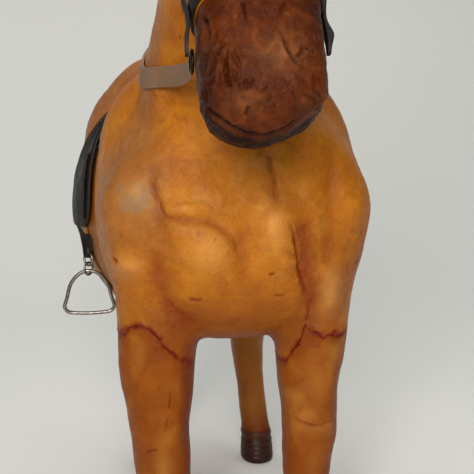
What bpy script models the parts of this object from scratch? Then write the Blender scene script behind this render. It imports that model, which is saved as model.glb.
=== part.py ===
"""A leather-covered pony figure with saddle, bridle and swinging stirrups, about 0.41 m tall.

The pony faces -Y and stands on z = 0. Its left side is +X. Measures are in millimetres and are
turned into metres by at(). One smooth body form is lofted, blended and cut along the leather's
seams: each region gives a leather cover (a 1.5 mm shell) and the core that it is glued over.
"""

import math

import bmesh
import bpy
import numpy as np
from mathutils import Vector
from mathutils.bvhtree import BVHTree
from mathutils.kdtree import KDTree

# Driving dimensions, in millimetres. Y counts from the front of the chest towards the tail.
MIDDLE_Y = 89.0  # the middle of the whole length, which becomes y = 0
MIDDLE_X = -3.7  # the middle of the whole width: one stirrup hangs turned out and the other edge-on
HIDE = 1.5  # thickness of the leather over the core
GAP = 0.3  # clearance between touching pieces
FORM_VOXEL = 4.0
FORM_TRIANGLES = 2800
LEG_DETAIL = 0.012  # how much more detail the slender legs keep
STRAP_LIFT = 0.9  # clearance under a strap, which bridges the facets of the form
STRAP_THICK = 1.5
BRIDLE_WIDTH = 6.5
REIN_WIDTH = 10.5

# Seams, where one leather panel ends and the next begins.
NECK_SEAM = ((72.0, 292.0), (0.0, 262.0))  # (y, z) at the withers and at the chest
THROAT_SEAM = ((16.0, 390.0), (-11.5, 303.0))  # behind the ears, and behind the jaw
MUZZLE_SEAM_STATION = 80.0  # along the head's axis
FRONT_SEAM = (150.0, 135.0)  # height at the outer and inner side of a foreleg
HIND_SEAM = 131.0
HOOF_HEIGHT = 22.0

# The head's axis, from the poll to the lips, in the middle plane.
POLL = np.array([0.8, -8.0, 373.0])
LIPS = np.array([2.1, -72.0, 263.0])

# Torso sections: y, half width, lowest z, height of the widest point, highest z, fullness of the lower
# and of the upper half, shift to the left. The forehand stands a little to the left of the hindquarters.
TORSO = (
    (3.0, 36.0, 180.0, 212.0, 240.0, 2.0, 2.0, 4.5),
    (9.0, 56.0, 158.0, 209.0, 260.0, 2.1, 2.0, 4.5),
    (22.0, 67.0, 144.0, 208.0, 274.0, 2.4, 1.8, 4.5),
    (42.0, 70.5, 139.0, 207.0, 283.0, 2.4, 2.1, 4.0),
    (66.0, 71.5, 133.0, 205.0, 290.0, 2.3, 3.0, 2.8),
    (92.0, 71.5, 128.0, 202.0, 279.0, 2.2, 2.5, 0.8),
    (120.0, 78.0, 125.0, 200.0, 275.0, 2.2, 1.85, 0.0),
    (146.0, 80.0, 126.0, 201.0, 278.0, 2.2, 1.85, 0.0),
    (172.0, 78.0, 135.0, 208.0, 287.0, 2.4, 2.5, 0.0),
    (196.0, 73.5, 148.0, 215.0, 293.0, 2.6, 2.8, 0.0),
    (216.0, 64.0, 162.0, 218.0, 289.0, 2.5, 2.7, 0.0),
    (231.0, 46.0, 180.0, 222.0, 276.0, 2.2, 2.2, 0.0),
    (238.0, 24.0, 202.0, 225.0, 254.0, 2.0, 2.0, 0.0),
)
LEG_SHIFT = 4.5

# Neck sections: centre y and z, half width, half depth, lean of the section's plane in degrees.
NECK = (
    (50.0, 236.0, 48.0, 48.0, 10.0),
    (45.0, 268.0, 46.0, 42.0, 20.0),
    (33.0, 295.0, 41.5, 38.0, 28.0),
    (20.0, 320.0, 38.0, 36.0, 28.0),
    (9.0, 343.0, 33.5, 33.0, 26.0),
    (0.0, 362.0, 27.0, 28.0, 24.0),
    (-6.0, 376.0, 20.0, 20.0, 24.0),
)

# Head sections: station along the axis from the poll, half width, half depth, shift forward, fullness.
HEAD = (
    (-17.0, 9.0, 10.0, -2.0, 2.0),
    (-12.0, 18.0, 19.0, -2.0, 2.1),
    (0.0, 27.0, 26.0, -1.0, 2.2),
    (18.0, 33.0, 31.0, 0.0, 2.3),
    (38.0, 34.0, 33.0, -1.0, 2.4),
    (58.0, 31.0, 30.0, 0.0, 2.5),
    (78.0, 27.0, 25.5, 2.0, 2.7),
    (96.0, 26.8, 23.5, 3.0, 2.9),
    (112.0, 27.6, 22.5, 3.0, 2.9),
    (124.0, 26.0, 20.5, 1.5, 2.7),
    (132.0, 20.0, 15.5, -1.0, 2.4),
    (136.0, 10.0, 8.0, -2.0, 2.0),
)

# Leg sections: z, centre x, centre y, half width, half depth. The last ones are the hoof.
FORELEG = (
    (226.0, 44.0, 34.0, 11.0, 14.0),
    (213.0, 46.5, 34.0, 19.5, 22.0),
    (192.0, 46.0, 36.0, 21.5, 26.0),
    (166.0, 42.5, 38.0, 21.0, 25.0),
    (140.0, 41.4, 36.0, 20.4, 22.0),
    (112.0, 41.0, 32.0, 18.0, 18.0),
    (94.0, 41.0, 30.5, 16.0, 16.5),
    (74.0, 39.6, 31.0, 14.2, 14.0),
    (52.0, 39.2, 32.0, 12.0, 12.0),
    (36.0, 39.2, 32.0, 12.8, 13.4),
    (26.0, 39.4, 30.0, 12.2, 12.6),
    (19.0, 39.6, 28.0, 13.4, 14.8),
    (4.0, 40.0, 25.0, 14.6, 17.4),
    (0.0, 40.0, 25.0, 14.2, 17.0),
)
HIND_LEG = (
    (196.0, 27.0, 198.0, 26.0, 26.0),
    (176.0, 33.0, 199.0, 29.0, 34.0),
    (150.0, 35.0, 200.0, 24.0, 32.0),
    (124.0, 34.0, 206.0, 17.5, 23.0),
    (104.0, 33.4, 213.0, 13.6, 17.0),
    (86.0, 33.5, 219.0, 11.8, 14.6),
    (74.0, 34.2, 220.0, 11.2, 13.6),
    (54.0, 35.8, 216.0, 9.9, 10.8),
    (36.0, 37.4, 212.0, 10.2, 11.2),
    (26.0, 38.2, 209.0, 10.0, 11.0),
    (19.0, 38.6, 207.0, 10.8, 12.6),
    (4.0, 38.9, 204.0, 11.6, 14.4),
    (0.0, 38.9, 204.0, 11.2, 14.0),
)

# Muscles that stand out of the lofts: centre, radius and height of each bulge.
BULGES = (
    ((27.0, 4.0, 205.0), 24.0, 5.0),  # breast
    ((62.0, 24.0, 214.0), 26.0, 3.0),  # point of the shoulder
    ((56.0, 46.0, 168.0), 22.0, 2.0),  # elbow
    ((70.0, 186.0, 205.0), 30.0, 3.0),  # thigh
    ((30.0, -8.0, 340.0), 16.0, 2.5),  # jaw
    ((20.0, -76.0, 280.0), 10.0, 2.0),  # nostril
)

# Where junctions between lofts are blended: centre, radius.
BLENDS = (
    ((0.0, 40.0, 278.0), 52.0),
    ((0.0, -4.0, 352.0), 34.0),
    ((40.0, 35.0, 158.0), 34.0),
    ((38.0, 200.0, 150.0), 44.0),
)

SADDLE_FRONT, SEAT_FRONT, SADDLE_BACK = 90.0, 102.0, 160.0
SEAT_ANGLE = 34.0  # half of the seat's angle round the barrel
STIRRUP_STRAP_WIDTH, STIRRUP_LOOP_WIDTH, STIRRUP_STRAP_THICK = 5.2, 3.2, 1.2
# Degrees about the vertical, from the YZ plane, of the upper ring, the lower ring and the stirrup.
LEFT_TWISTS = (0.0, 85.0, 10.0)
RIGHT_TWISTS = (40.0, -40.0, 90.0)
FLAP_TOP_ANGLE = 54.0  # degrees up from the side, round the barrel
STIRRUP_Y = 99.0
STIRRUP_X = 74.5
STRAP_TOP_Z = 236.0
STRAP_FOLD_Z = 176.0
FOLD = 1.5  # inner radius of the strap's fold
RING_WIRE = 0.7
STRAP_RING, LINK_RING = 3.7, 3.6  # radii to the wire's middle
STIRRUP_WIRE = 1.15
STIRRUP_WIDTH, STIRRUP_HEIGHT = 32.0, 27.5
BIT_Z, BIT_Y = 291.0, -52.0
BIT_RING, BIT_WIRE, BIT_OUT = 4.8, 0.8, 2.1  # radius, wire radius, distance out from the muzzle
EYE_STATION, EYE_RADIUS = 24.0, 6.2
NOSEBAND_STATION = 76.0
BROW_STATION = 6.0
PAD_LIFT, PAD_THICK = 1.3, 1.4
FLAP_THICK = 1.6
GIRTH_THICK = 1.2

# Half of the headpiece's line, from the pony's left of the poll down to the cheek: x, y, z.
HEADPIECE_HALF = (
    (4.0, 14.0, 400.0),
    (15.0, 13.0, 393.0),
    (25.0, 9.0, 382.0),
    (31.0, -1.0, 369.0),
    (34.5, -9.5, 360.0),
)

# The left rein: its free stretch behind the jaw, then where it lies on the neck up to the withers.
FREE_REIN = (
    (25.2, -35.5, 284.6),
    (24.4, -26.0, 283.3),
    (25.4, -16.0, 282.0),
    (27.8, -5.0, 280.8),
    (31.0, 5.5, 280.0),
)
HELD_REIN = (
    (36.0, 15.0, 279.6),
    (39.6, 20.5, 280.0),
    (42.6, 27.0, 281.4),
    (43.4, 33.0, 284.5),
    (41.5, 42.0, 288.5),
    (35.0, 51.0, 293.5),
    (25.0, 60.0, 299.0),
    (12.0, 65.5, 303.0),
    (0.0, 66.5, 304.0),
)

# Ear sections: height over its foot, half width, half depth, lean back.
EAR = ((-6, 6.5, 5.0, 0), (4, 8.0, 5.5, 1), (14, 7.6, 4.0, 2), (24, 5.0, 2.8, 2.5), (32, 1.2, 1.0, 2))
# Mane sections: y, z, half width, depth. Forelock: distance down the forehead, half width, depth.
MANE = (
    (16, 392, 3.5, 7),
    (27, 374, 5.0, 10),
    (38, 354, 5.5, 11),
    (48, 334, 5.5, 11),
    (58, 316, 4.5, 9),
    (64, 308, 3.0, 6),
)
FORELOCK = ((0, 3.0, 2.0), (10, 7.0, 3.0), (24, 6.5, 2.6), (36, 2.0, 1.2))
# Tail sections: y, z, half width, half depth.
TAIL = (
    (228, 276, 6, 6),
    (240, 277, 8, 8),
    (249, 266, 9, 9),
    (254, 246, 11, 10),
    (256, 215, 13, 11),
    (256, 180, 13, 11),
    (254, 148, 10, 9),
    (252, 122, 4, 4),
)


def at(x, y, z):
    """A point in metres in the part's own frame, from millimetres counted from the chest."""
    return Vector((x - MIDDLE_X, y - MIDDLE_Y, z)) / 1000.0


def clear_scene():
    for obj in list(bpy.data.objects):
        bpy.data.objects.remove(obj, do_unlink=True)


def make_material(name, colour, roughness, metallic=0.0):
    made = bpy.data.materials.new(name)
    made.use_nodes = True
    shader = made.node_tree.nodes["Principled BSDF"]
    shader.inputs["Base Color"].default_value = (*colour, 1.0)
    shader.inputs["Roughness"].default_value = roughness
    shader.inputs["Metallic"].default_value = metallic
    return made


def object_from(name, mesh, material=None):
    obj = bpy.data.objects.new(name, mesh)
    bpy.context.scene.collection.objects.link(obj)
    if material is not None:
        mesh.materials.clear()
        mesh.materials.append(material)
    return obj


def helper(obj):
    """Marks a cutter or a guide, which isn't a piece of the pony."""
    obj.hide_render = True
    obj.display_type = "WIRE"
    return obj


def mesh_of(name, points, faces):
    mesh = bpy.data.meshes.new(name)
    mesh.from_pydata([tuple(p) for p in points], [], faces)
    work = bmesh.new()
    work.from_mesh(mesh)
    bmesh.ops.recalc_face_normals(work, faces=work.faces)
    work.to_mesh(mesh)
    work.free()
    return mesh


def baked(obj):
    """The object's mesh with its modifiers applied."""
    bpy.context.view_layer.update()
    graph = bpy.context.evaluated_depsgraph_get()
    return bpy.data.meshes.new_from_object(obj.evaluated_get(graph), depsgraph=graph)


def between(rows, steps):
    """The rows with `steps` rows for each gap, on a Catmull-Rom curve through them."""
    keys = np.array(rows, float)
    padded = np.vstack([2 * keys[0] - keys[1], keys, 2 * keys[-1] - keys[-2]])
    out = []
    for i in range(len(keys) - 1):
        a, b, c, d = padded[i : i + 4]
        for t in np.arange(steps) / steps:
            bend, twist = 2 * a - 5 * b + 4 * c - d, 3 * b - a - 3 * c + d
            out.append(0.5 * (2 * b + (c - a) * t + bend * t**2 + twist * t**3))
    out.append(keys[-1])
    return np.array(out)


def oval(centre, across, up, half, high, low, fullness, count, upper=None):
    """A ring of points round a rounded-square section. `high` and `low` are its reach along up and down."""
    turn = np.linspace(0.0, 2 * math.pi, count, endpoint=False)
    c, s = np.cos(turn), np.sin(turn)
    reach = np.where(s > 0, high, low)
    power = 2 / np.where(s > 0, upper or fullness, fullness)
    along = np.sign(c) * np.abs(c) ** power * half
    rise = np.sign(s) * np.abs(s) ** power * reach
    return centre + np.outer(along, across) + np.outer(rise, up)


def loft(rings):
    """Points and faces of a closed body through rings with the same number of points."""
    count = len(rings[0])
    points = np.vstack(rings)
    faces = []
    for i in range(len(rings) - 1):
        for j in range(count):
            k = (j + 1) % count
            faces.append((i * count + j, i * count + k, (i + 1) * count + k, (i + 1) * count + j))
    faces.append(tuple(range(count - 1, -1, -1)))
    faces.append(tuple(range(len(points) - count, len(points))))
    return points, faces


def torso_rings(count=32):
    x_axis, z_axis = np.array([1.0, 0, 0]), np.array([0, 0, 1.0])
    return [
        oval(np.array([shift, y, mid]), x_axis, z_axis, half, top - mid, mid - low, full, count, upper)
        for y, half, low, mid, top, full, upper, shift in between(TORSO, 3)
    ]


def neck_rings(count=28):
    rings = []
    for y, z, half, deep, lean in between(NECK, 3):
        tilt = math.radians(lean)
        forward = np.array([0, -math.cos(tilt), -math.sin(tilt)])
        rings.append(oval(np.array([0, y, z]), np.array([1.0, 0, 0]), forward, half, deep, deep, 2.1, count))
    return rings


def head_axis():
    """The head's direction towards the lips, and the direction out of the face."""
    along = (LIPS - POLL) / np.linalg.norm(LIPS - POLL)
    out = np.array([0, along[2], -along[1]])
    return along, out / np.linalg.norm(out)


def head_rings(count=28):
    along, out = head_axis()
    x_axis = np.array([1.0, 0, 0])
    return [
        oval(POLL + along * s + out * shift, x_axis, out, half, deep, deep, full, count)
        for s, half, deep, shift, full in between(HEAD, 3)
    ]


def leg_rings(rows, side, count=20):
    x_axis, y_axis = np.array([1.0, 0, 0]), np.array([0, 1.0, 0])
    return [
        oval(np.array([side * x + LEG_SHIFT, y, z]), x_axis, y_axis, half, deep, deep, 2.1, count)
        for z, x, y, half, deep in between(rows, 3)
    ]


def raise_bulges(points, normals):
    """Moves points (in millimetres) out along their normals where a muscle lies."""
    for centre, radius, height in BULGES:
        for side in (1, -1):
            middle = np.array([side * centre[0], centre[1], centre[2]])
            near = np.exp(-((np.linalg.norm(points - middle, axis=1) / (0.6 * radius)) ** 2))
            points = points + normals * (near * height)[:, None]
    return points


def blend_junctions(points, edges, rounds):
    """Evens out the creases between lofts by moving each point towards its neighbours' average."""
    share = np.zeros(len(points))
    for centre, radius in BLENDS:
        for side in (1, -1):
            middle = np.array([side * centre[0], centre[1], centre[2]])
            far = np.linalg.norm(points - middle, axis=1) / radius
            share = np.maximum(share, np.clip(1.6 - 1.6 * far, 0, 1))
    for _ in range(rounds):
        points = points + (neighbour_mean(points, edges) - points) * (0.5 * share)[:, None]
    return points


def coordinates(mesh, what="co"):
    flat = np.zeros(len(mesh.vertices) * 3)
    mesh.vertices.foreach_get(what, flat)
    return flat.reshape(-1, 3)


def joined_lofts():
    """All the lofts of the pony in one mesh, overlapping where they meet."""
    lofts = [torso_rings(), neck_rings(), head_rings()]
    lofts += [leg_rings(rows, side) for rows in (FORELEG, HIND_LEG) for side in (1, -1)]
    points, faces = [], []
    for rings in lofts:
        more, sides = loft(rings)
        faces += [tuple(i + len(points) for i in face) for face in sides]
        points += [at(*p) for p in more]
    return object_from("form_guide", mesh_of("form_guide", points, faces))


def edges_of(mesh):
    edges = np.zeros(len(mesh.edges) * 2, np.int32)
    mesh.edges.foreach_get("vertices", edges)
    return edges.reshape(-1, 2)


def neighbour_mean(values, edges):
    degree = np.bincount(edges.ravel(), minlength=len(values))[:, None]
    total = np.zeros_like(values)
    np.add.at(total, edges[:, 0], values[edges[:, 1]])
    np.add.at(total, edges[:, 1], values[edges[:, 0]])
    return total / degree


def fine_form():
    """The lofts made one by a voxel remesh, with the muscles raised and the junctions blended."""
    obj = joined_lofts()
    remesh = obj.modifiers.new("union", "REMESH")
    remesh.mode = "VOXEL"
    remesh.voxel_size = FORM_VOXEL / 1000
    mesh = baked(obj)
    bpy.data.objects.remove(obj)
    shift = np.array([MIDDLE_X, MIDDLE_Y, 0])
    local = coordinates(mesh) * 1000 + shift
    local = raise_bulges(local, coordinates(mesh, "normal"))
    local = blend_junctions(local, edges_of(mesh), 10)
    mesh.vertices.foreach_set("co", ((local - shift) / 1000).ravel())
    mesh.update()
    return mesh


def thinned(fine):
    """The form with few triangles, evened out over the fine one's surface."""
    obj = object_from("form_guide", fine)
    thin = obj.modifiers.new("thin", "DECIMATE")
    thin.ratio = FORM_TRIANGLES / (2 * len(fine.polygons))
    legs = obj.vertex_groups.new(name="legs")
    for vertex in fine.vertices:
        high = vertex.co.z * 1000
        legs.add([vertex.index], 1.0 - 0.1 * min(1.0, max(0.0, (150.0 - high) / 40.0)), "REPLACE")
    thin.vertex_group = "legs"
    thin.vertex_group_factor = LEG_DETAIL
    form = baked(obj)
    bpy.data.objects.remove(obj)
    surface = tree_of(fine)
    edges = edges_of(form)
    points = coordinates(form)
    for _ in range(3):
        points = points + (neighbour_mean(points, edges) - points) * 0.4
        points = np.array([surface.find_nearest(p)[0] for p in points])
    form.vertices.foreach_set("co", points.ravel())
    form.update()
    work = bmesh.new()
    work.from_mesh(form)
    bmesh.ops.triangulate(work, faces=work.faces)
    bmesh.ops.beautify_fill(work, faces=work.faces, edges=work.edges)
    work.to_mesh(form)
    work.free()
    return form


def smooth_normals(fine, points):
    """Directions out of the fine form at points, averaged over their surroundings."""
    normals, edges = coordinates(fine, "normal"), edges_of(fine)
    for _ in range(3):
        normals = (normals + neighbour_mean(normals, edges)) / 2
    tree = KDTree(len(fine.vertices))
    for i, vertex in enumerate(fine.vertices):
        tree.insert(vertex.co, i)
    tree.balance()
    found = np.array([normals[tree.find(p)[1]] for p in points])
    return found / np.linalg.norm(found, axis=1)[:, None]


def offset_form(form, directions, distance, name):
    """A copy of the form, moved out by `distance` millimetres, as a cutter."""
    mesh = form.copy()
    moved = coordinates(form) + directions * distance / 1000
    mesh.vertices.foreach_set("co", moved.ravel())
    mesh.update()
    return helper(object_from(name, mesh))


def prism(name, outline, low, high, axis="X"):
    """A cutter: an outline in the plane across `axis`, drawn out from `low` to `high`."""
    points = []
    for end in (low, high):
        for a, b in outline:
            points.append(at(end, a, b) if axis == "X" else at(a, end, b))
    count = len(outline)
    faces = [tuple(range(count)), tuple(range(2 * count - 1, count - 1, -1))]
    faces += [(i, (i + 1) % count, (i + 1) % count + count, i + count) for i in range(count)]
    return helper(object_from(name, mesh_of(name, points, faces)))


def half_plane(first, second, gap, reach=400.0):
    """An outline (y, z) filling the side to the left of the line first to second, moved in by `gap`."""
    a, b = np.array(first), np.array(second)
    run = (b - a) / np.linalg.norm(b - a)
    left = np.array([-run[1], run[0]])
    start, end = a - run * reach + left * gap, b + run * reach + left * gap
    return [tuple(start), tuple(end), tuple(end + left * reach), tuple(start + left * reach)]


def muzzle_line():
    along, out = head_axis()
    middle = POLL + along * MUZZLE_SEAM_STATION
    return (middle - out * 50)[1:], (middle + out * 50)[1:]


def leg_block(name, front, side, top_gap, bottom, bottom_gap):
    """A cutter round one leg, from its seam down to `bottom`: the hoof's height, or below the ground."""
    outer, inner = FRONT_SEAM if front else (HIND_SEAM, HIND_SEAM)
    slope = (outer - inner) / 40.0
    near_x, far_x = (0.4 if side > 0 else -4.0), 110.0
    low = bottom + bottom_gap
    outline = [
        (side * near_x, low),
        (side * far_x, low),
        (side * far_x, inner + slope * (far_x - 20) - top_gap),
        (side * near_x, inner + slope * (near_x - 20) - top_gap),
    ]
    start, end = (-20.0, 61.0) if front else (176.0, 260.0)
    return prism(name, outline, start, end, axis="Y")


def boolean(obj, cutter, operation):
    made = obj.modifiers.new(cutter.name, "BOOLEAN")
    made.operation = operation
    made.object = cutter
    made.solver = "EXACT"
    return obj


def piece_of(source, name, material, keep=(), remove=()):
    """A node cut from a form: what lies inside every cutter in `keep` and outside all in `remove`."""
    obj = object_from(name, source.data.copy(), material)
    for cutter in keep:
        boolean(obj, cutter, "INTERSECT")
    for cutter in remove:
        boolean(obj, cutter, "DIFFERENCE")
    return obj


def hide_and_core(forms, materials):
    """The leather covers, the cores under them and the hooves."""
    outer, inner, core = forms
    neck_side = half_plane(*reversed(NECK_SEAM), 0)
    above_neck_seam = prism("cut_neck", neck_side, -130, 130)
    neck_keep = prism("keep_neck", half_plane(*reversed(NECK_SEAM), GAP), -130, 130)
    head_cut = prism("cut_head", half_plane(*reversed(THROAT_SEAM), 0), -130, 130)
    head_keep = prism("keep_head", half_plane(*reversed(THROAT_SEAM), GAP), -130, 130)
    muzzle_cut = prism("cut_muzzle", half_plane(*muzzle_line(), 0), -130, 130)
    muzzle_keep = prism("keep_muzzle", half_plane(*muzzle_line(), GAP), -130, 130)
    leather, dark, pulp, hoof = (materials[k] for k in ("tan_leather", "dark_leather", "core_pulp", "hoof"))

    legs = [(front, side) for front in (True, False) for side in (1, -1)]
    leg_cuts = [leg_block(f"cut_leg_{i}", f, s, 0, -10, 0) for i, (f, s) in enumerate(legs)]
    torso_cuts = [above_neck_seam, *leg_cuts]
    sockets = eye_sockets()

    piece_of(outer, "torso_hide", leather, remove=[*torso_cuts, inner])
    piece_of(core, "torso_core", pulp, remove=torso_cuts)
    piece_of(outer, "neck_hide", leather, keep=[neck_keep], remove=[head_cut, inner])
    piece_of(core, "neck_core", pulp, keep=[neck_keep], remove=[head_cut])
    piece_of(outer, "head_hide", leather, keep=[head_keep], remove=[muzzle_cut, inner, *sockets])
    piece_of(core, "head_core", pulp, keep=[head_keep], remove=sockets)
    piece_of(outer, "muzzle_hide", dark, keep=[head_keep, muzzle_keep], remove=[inner])

    for front, side in legs:
        name = ("front" if front else "hind") + "_{}_" + ("left" if side > 0 else "right")
        block = leg_block("keep_" + name.format("leg"), front, side, GAP, HOOF_HEIGHT, GAP)
        piece_of(outer, name.format("leg_hide"), leather, keep=[block], remove=[inner])
        piece_of(core, name.format("leg_core"), pulp, keep=[block])
        solid_hoof(name.format("hoof"), front, side, hoof)


def solid_hoof(name, front, side, material):
    """A flat-soled hoof that carries on the leg's shape below HOOF_HEIGHT."""
    rows = between(FORELEG if front else HIND_LEG, 3)[::-1]
    heights = (HOOF_HEIGHT, 17.0, 12.0, 7.0, 2.5, 0.0)
    picked = [[np.interp(z, rows[:, 0], rows[:, k]) for k in range(5)] for z in heights]
    x_axis, y_axis = np.array([1.0, 0, 0]), np.array([0, 1.0, 0])
    rings = [
        oval(np.array([side * x + LEG_SHIFT, y, z]), x_axis, y_axis, half, deep, deep, 2.1, 20)
        for z, x, y, half, deep in picked
    ]
    points, faces = loft(rings)
    return object_from(name, mesh_of(name, [at(*p) for p in points], faces), material)


def eye_centre(side):
    along, out = head_axis()
    return POLL + along * EYE_STATION + out * 12.0 + np.array([side * 27.0, 0, 0])


def ball(name, centre, radius, rings=8, segments=12):
    mesh = bpy.data.meshes.new(name)
    work = bmesh.new()
    bmesh.ops.create_uvsphere(work, u_segments=segments, v_segments=rings, radius=radius / 1000)
    work.to_mesh(mesh)
    work.free()
    obj = object_from(name, mesh)
    obj.location = at(*centre)
    return obj


def eye_sockets():
    return [helper(ball(f"socket_{side}", eye_centre(side), EYE_RADIUS + GAP)) for side in (1, -1)]


def eyes(material):
    for side, word in ((1, "left"), (-1, "right")):
        obj = ball("eye_" + word, eye_centre(side), EYE_RADIUS)
        obj.data.materials.append(material)
        obj.data.shade_smooth()


def tree_of(form):
    return BVHTree.FromPolygons([v.co for v in form.vertices], [p.vertices for p in form.polygons])


def local(point):
    """Millimetres counted from the chest, from metres in the part's frame."""
    return np.array(point) * 1000 + np.array([MIDDLE_X, MIDDLE_Y, 0])


def snapped(tree, point, lift=0.0):
    """The nearest point of the form, lifted off it, in millimetres, and the form's normal there."""
    found, normal, _, _ = tree.find_nearest(at(*point))
    return local(found) + np.array(normal) * lift, np.array(normal)


def smoothed(rows, rounds=2, closed=False):
    rows = np.array(rows, float)
    for _ in range(rounds):
        ahead, behind = np.roll(rows, -1, 0), np.roll(rows, 1, 0)
        moved = (rows * 2 + ahead + behind) / 4
        if not closed:
            moved[0], moved[-1] = rows[0], rows[-1]
        rows = moved
    return rows


def height_over(tree, point, outward, reach=14.0):
    """How far the form rises above a point along `outward`, or nothing where the ray misses it."""
    start = at(*(point + outward * reach))
    hit, _, _, far = tree.ray_cast(start, Vector(-outward), 2 * reach / 1000)
    return -reach if hit is None else reach - far * 1000


def laid(tree, guide, width, lift, closed=False):
    """The line of a strap's underside that clears the form across the strap's whole width."""
    found = [snapped(tree, p) for p in guide]
    middle = np.array([f[0] for f in found])
    outward = smoothed([f[1] for f in found], 3, closed)
    outward /= np.linalg.norm(outward, axis=1)[:, None]
    ahead = np.roll(middle, -1, 0) - np.roll(middle, 1, 0)
    if not closed:
        ahead[0], ahead[-1] = middle[1] - middle[0], middle[-1] - middle[-2]
    across = np.cross(ahead, outward)
    across /= np.linalg.norm(across, axis=1)[:, None]
    rise = []
    for p, out, side in zip(middle, outward, across):
        rise.append(max(height_over(tree, p + side * width * k, out) for k in (-0.5, -0.25, 0, 0.25, 0.5)))
    rise = np.array(rise)
    if closed:
        rise = np.maximum(rise, np.maximum(np.roll(rise, 1), np.roll(rise, -1)))
    else:
        rise = np.maximum(rise, np.maximum(np.append(rise[1:], rise[-1]), np.append(rise[0], rise[:-1])))
    rise = smoothed(np.clip(rise, -1, 4), 1, closed)
    return middle + outward * (rise + lift)[:, None], outward


def ribbon(name, middle, outward, width, thick, material, closed=False, taper=None):
    """A strap along `middle` whose inner face is at `middle` and whose outer face is `thick` further out."""
    middle, outward = np.array(middle), np.array(outward)
    ahead = np.roll(middle, -1, 0) - np.roll(middle, 1, 0)
    if not closed:
        ahead[0], ahead[-1] = middle[1] - middle[0], middle[-1] - middle[-2]
    outward = outward - ahead * (np.sum(outward * ahead, 1) / np.sum(ahead * ahead, 1))[:, None]
    outward /= np.linalg.norm(outward, axis=1)[:, None]
    across = np.cross(ahead, outward)
    across /= np.linalg.norm(across, axis=1)[:, None]
    shares = np.ones(len(middle)) if taper is None else np.array(taper)
    half = (shares * width / 2)[:, None]
    corners = [
        middle - across * half,
        middle + across * half,
        middle + across * half + outward * thick,
        middle - across * half + outward * thick,
    ]
    count = len(middle)
    points = [at(*p) for i in range(count) for p in (corner[i] for corner in corners)]
    faces = []
    for i in range(count if closed else count - 1):
        a, b = 4 * i, 4 * ((i + 1) % count)
        faces += [(a + j, a + (j + 1) % 4, b + (j + 1) % 4, b + j) for j in range(4)]
    if not closed:
        faces += [(0, 3, 2, 1), tuple(4 * count - 4 + j for j in range(4))]
    return object_from(name, mesh_of(name, points, faces), material)


def strap_on(tree, name, guide, width, material, thick=STRAP_THICK, closed=False, extra=0.0):
    """A strap that lies on the form along guide points. `extra` is how much higher it lies at each one."""
    lift = STRAP_LIFT + np.array(extra) * np.ones(len(guide))
    middle, outward = laid(tree, guide, width, lift, closed)
    return ribbon(name, middle, outward, width, thick, material, closed)


def head_point(station, angle, reach=1.15):
    """A guide point round the head: angle 0 is the pony's left side, 90 the front of the face."""
    along, out = head_axis()
    rows = between(HEAD, 3)
    half, deep, shift = (np.interp(station, rows[:, 0], rows[:, k]) for k in (1, 2, 3))
    turn = math.radians(angle)
    across = np.array([math.cos(turn) * half, 0, 0])
    return POLL + along * station + out * (shift + math.sin(turn) * deep * reach) + across * reach


def bridle(tree, materials):
    leather = materials["black_leather"]
    band = [head_point(NOSEBAND_STATION, a) for a in range(0, 360, 10)]
    strap_on(tree, "noseband", band, BRIDLE_WIDTH, leather, closed=True)

    over = STRAP_THICK + 0.8
    for side, word in ((1, "left"), (-1, "right")):
        keys = (
            (15.5, -11.0, 0.0), (26.0, -15.0, 0.0), (36.0, -16.0, 0.0), (46.0, -14.0, 0.0), (56.0, -10.0, 0.0),
            (63.0, -7.0, 0.3), (69.0, -5.0, over), (76.0, -3.0, over), (83.0, -2.0, over), (87.0, -1.0, over),
        )
        rows = between(keys, 2)
        guide = [head_point(s, a if side > 0 else 180 - a) for s, a, _ in rows]
        extra = np.clip(rows[:, 2], 0, over)
        strap_on(tree, "cheek_strap_" + word, guide, BRIDLE_WIDTH, leather, extra=extra)

    crown = [(s * x, y, z) for s in (1, -1) for x, y, z in HEADPIECE_HALF[:: -s]]
    strap_on(tree, "headpiece", between(crown, 2), BRIDLE_WIDTH, leather)

    brow = [head_point(BROW_STATION, a) for a in np.linspace(14, 166, 21)]
    strap_on(tree, "browband", brow, BRIDLE_WIDTH * 0.8, leather)


def ring_mesh(name, centre, radius, wire, normal, material, count=16, sides=6):
    """A closed, upright wire ring round `centre`."""
    normal, up = Vector(normal).normalized(), Vector((0, 0, 1))
    side = normal.cross(up).normalized()
    points, faces = [], []
    for i in range(count):
        turn = 2 * math.pi * i / count
        arm = side * math.cos(turn) + up * math.sin(turn)
        for j in range(sides):
            angle = 2 * math.pi * j / sides
            out, over = radius + wire * math.cos(angle), wire * math.sin(angle)
            points.append(at(*(Vector(centre) + arm * out + normal * over)))
            a, b, k = i * sides, ((i + 1) % count) * sides, (j + 1) % sides
            faces.append((a + j, a + k, b + k, b + j))
    mesh = mesh_of(name, points, faces)
    mesh.shade_smooth()
    return object_from(name, mesh, material)


def bit_centre(tree, side):
    on, _ = snapped(tree, (side * 40.0, BIT_Y, BIT_Z))
    return np.array([on[0] + side * BIT_OUT, BIT_Y, BIT_Z - BIT_RING + 1.0])


def bit_rings(tree, materials):
    for side, word in ((1, "left"), (-1, "right")):
        centre = bit_centre(tree, side)
        ring_mesh("bit_ring_" + word, centre, BIT_RING, BIT_WIRE, (side, 0, 0), materials["steel"])


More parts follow.
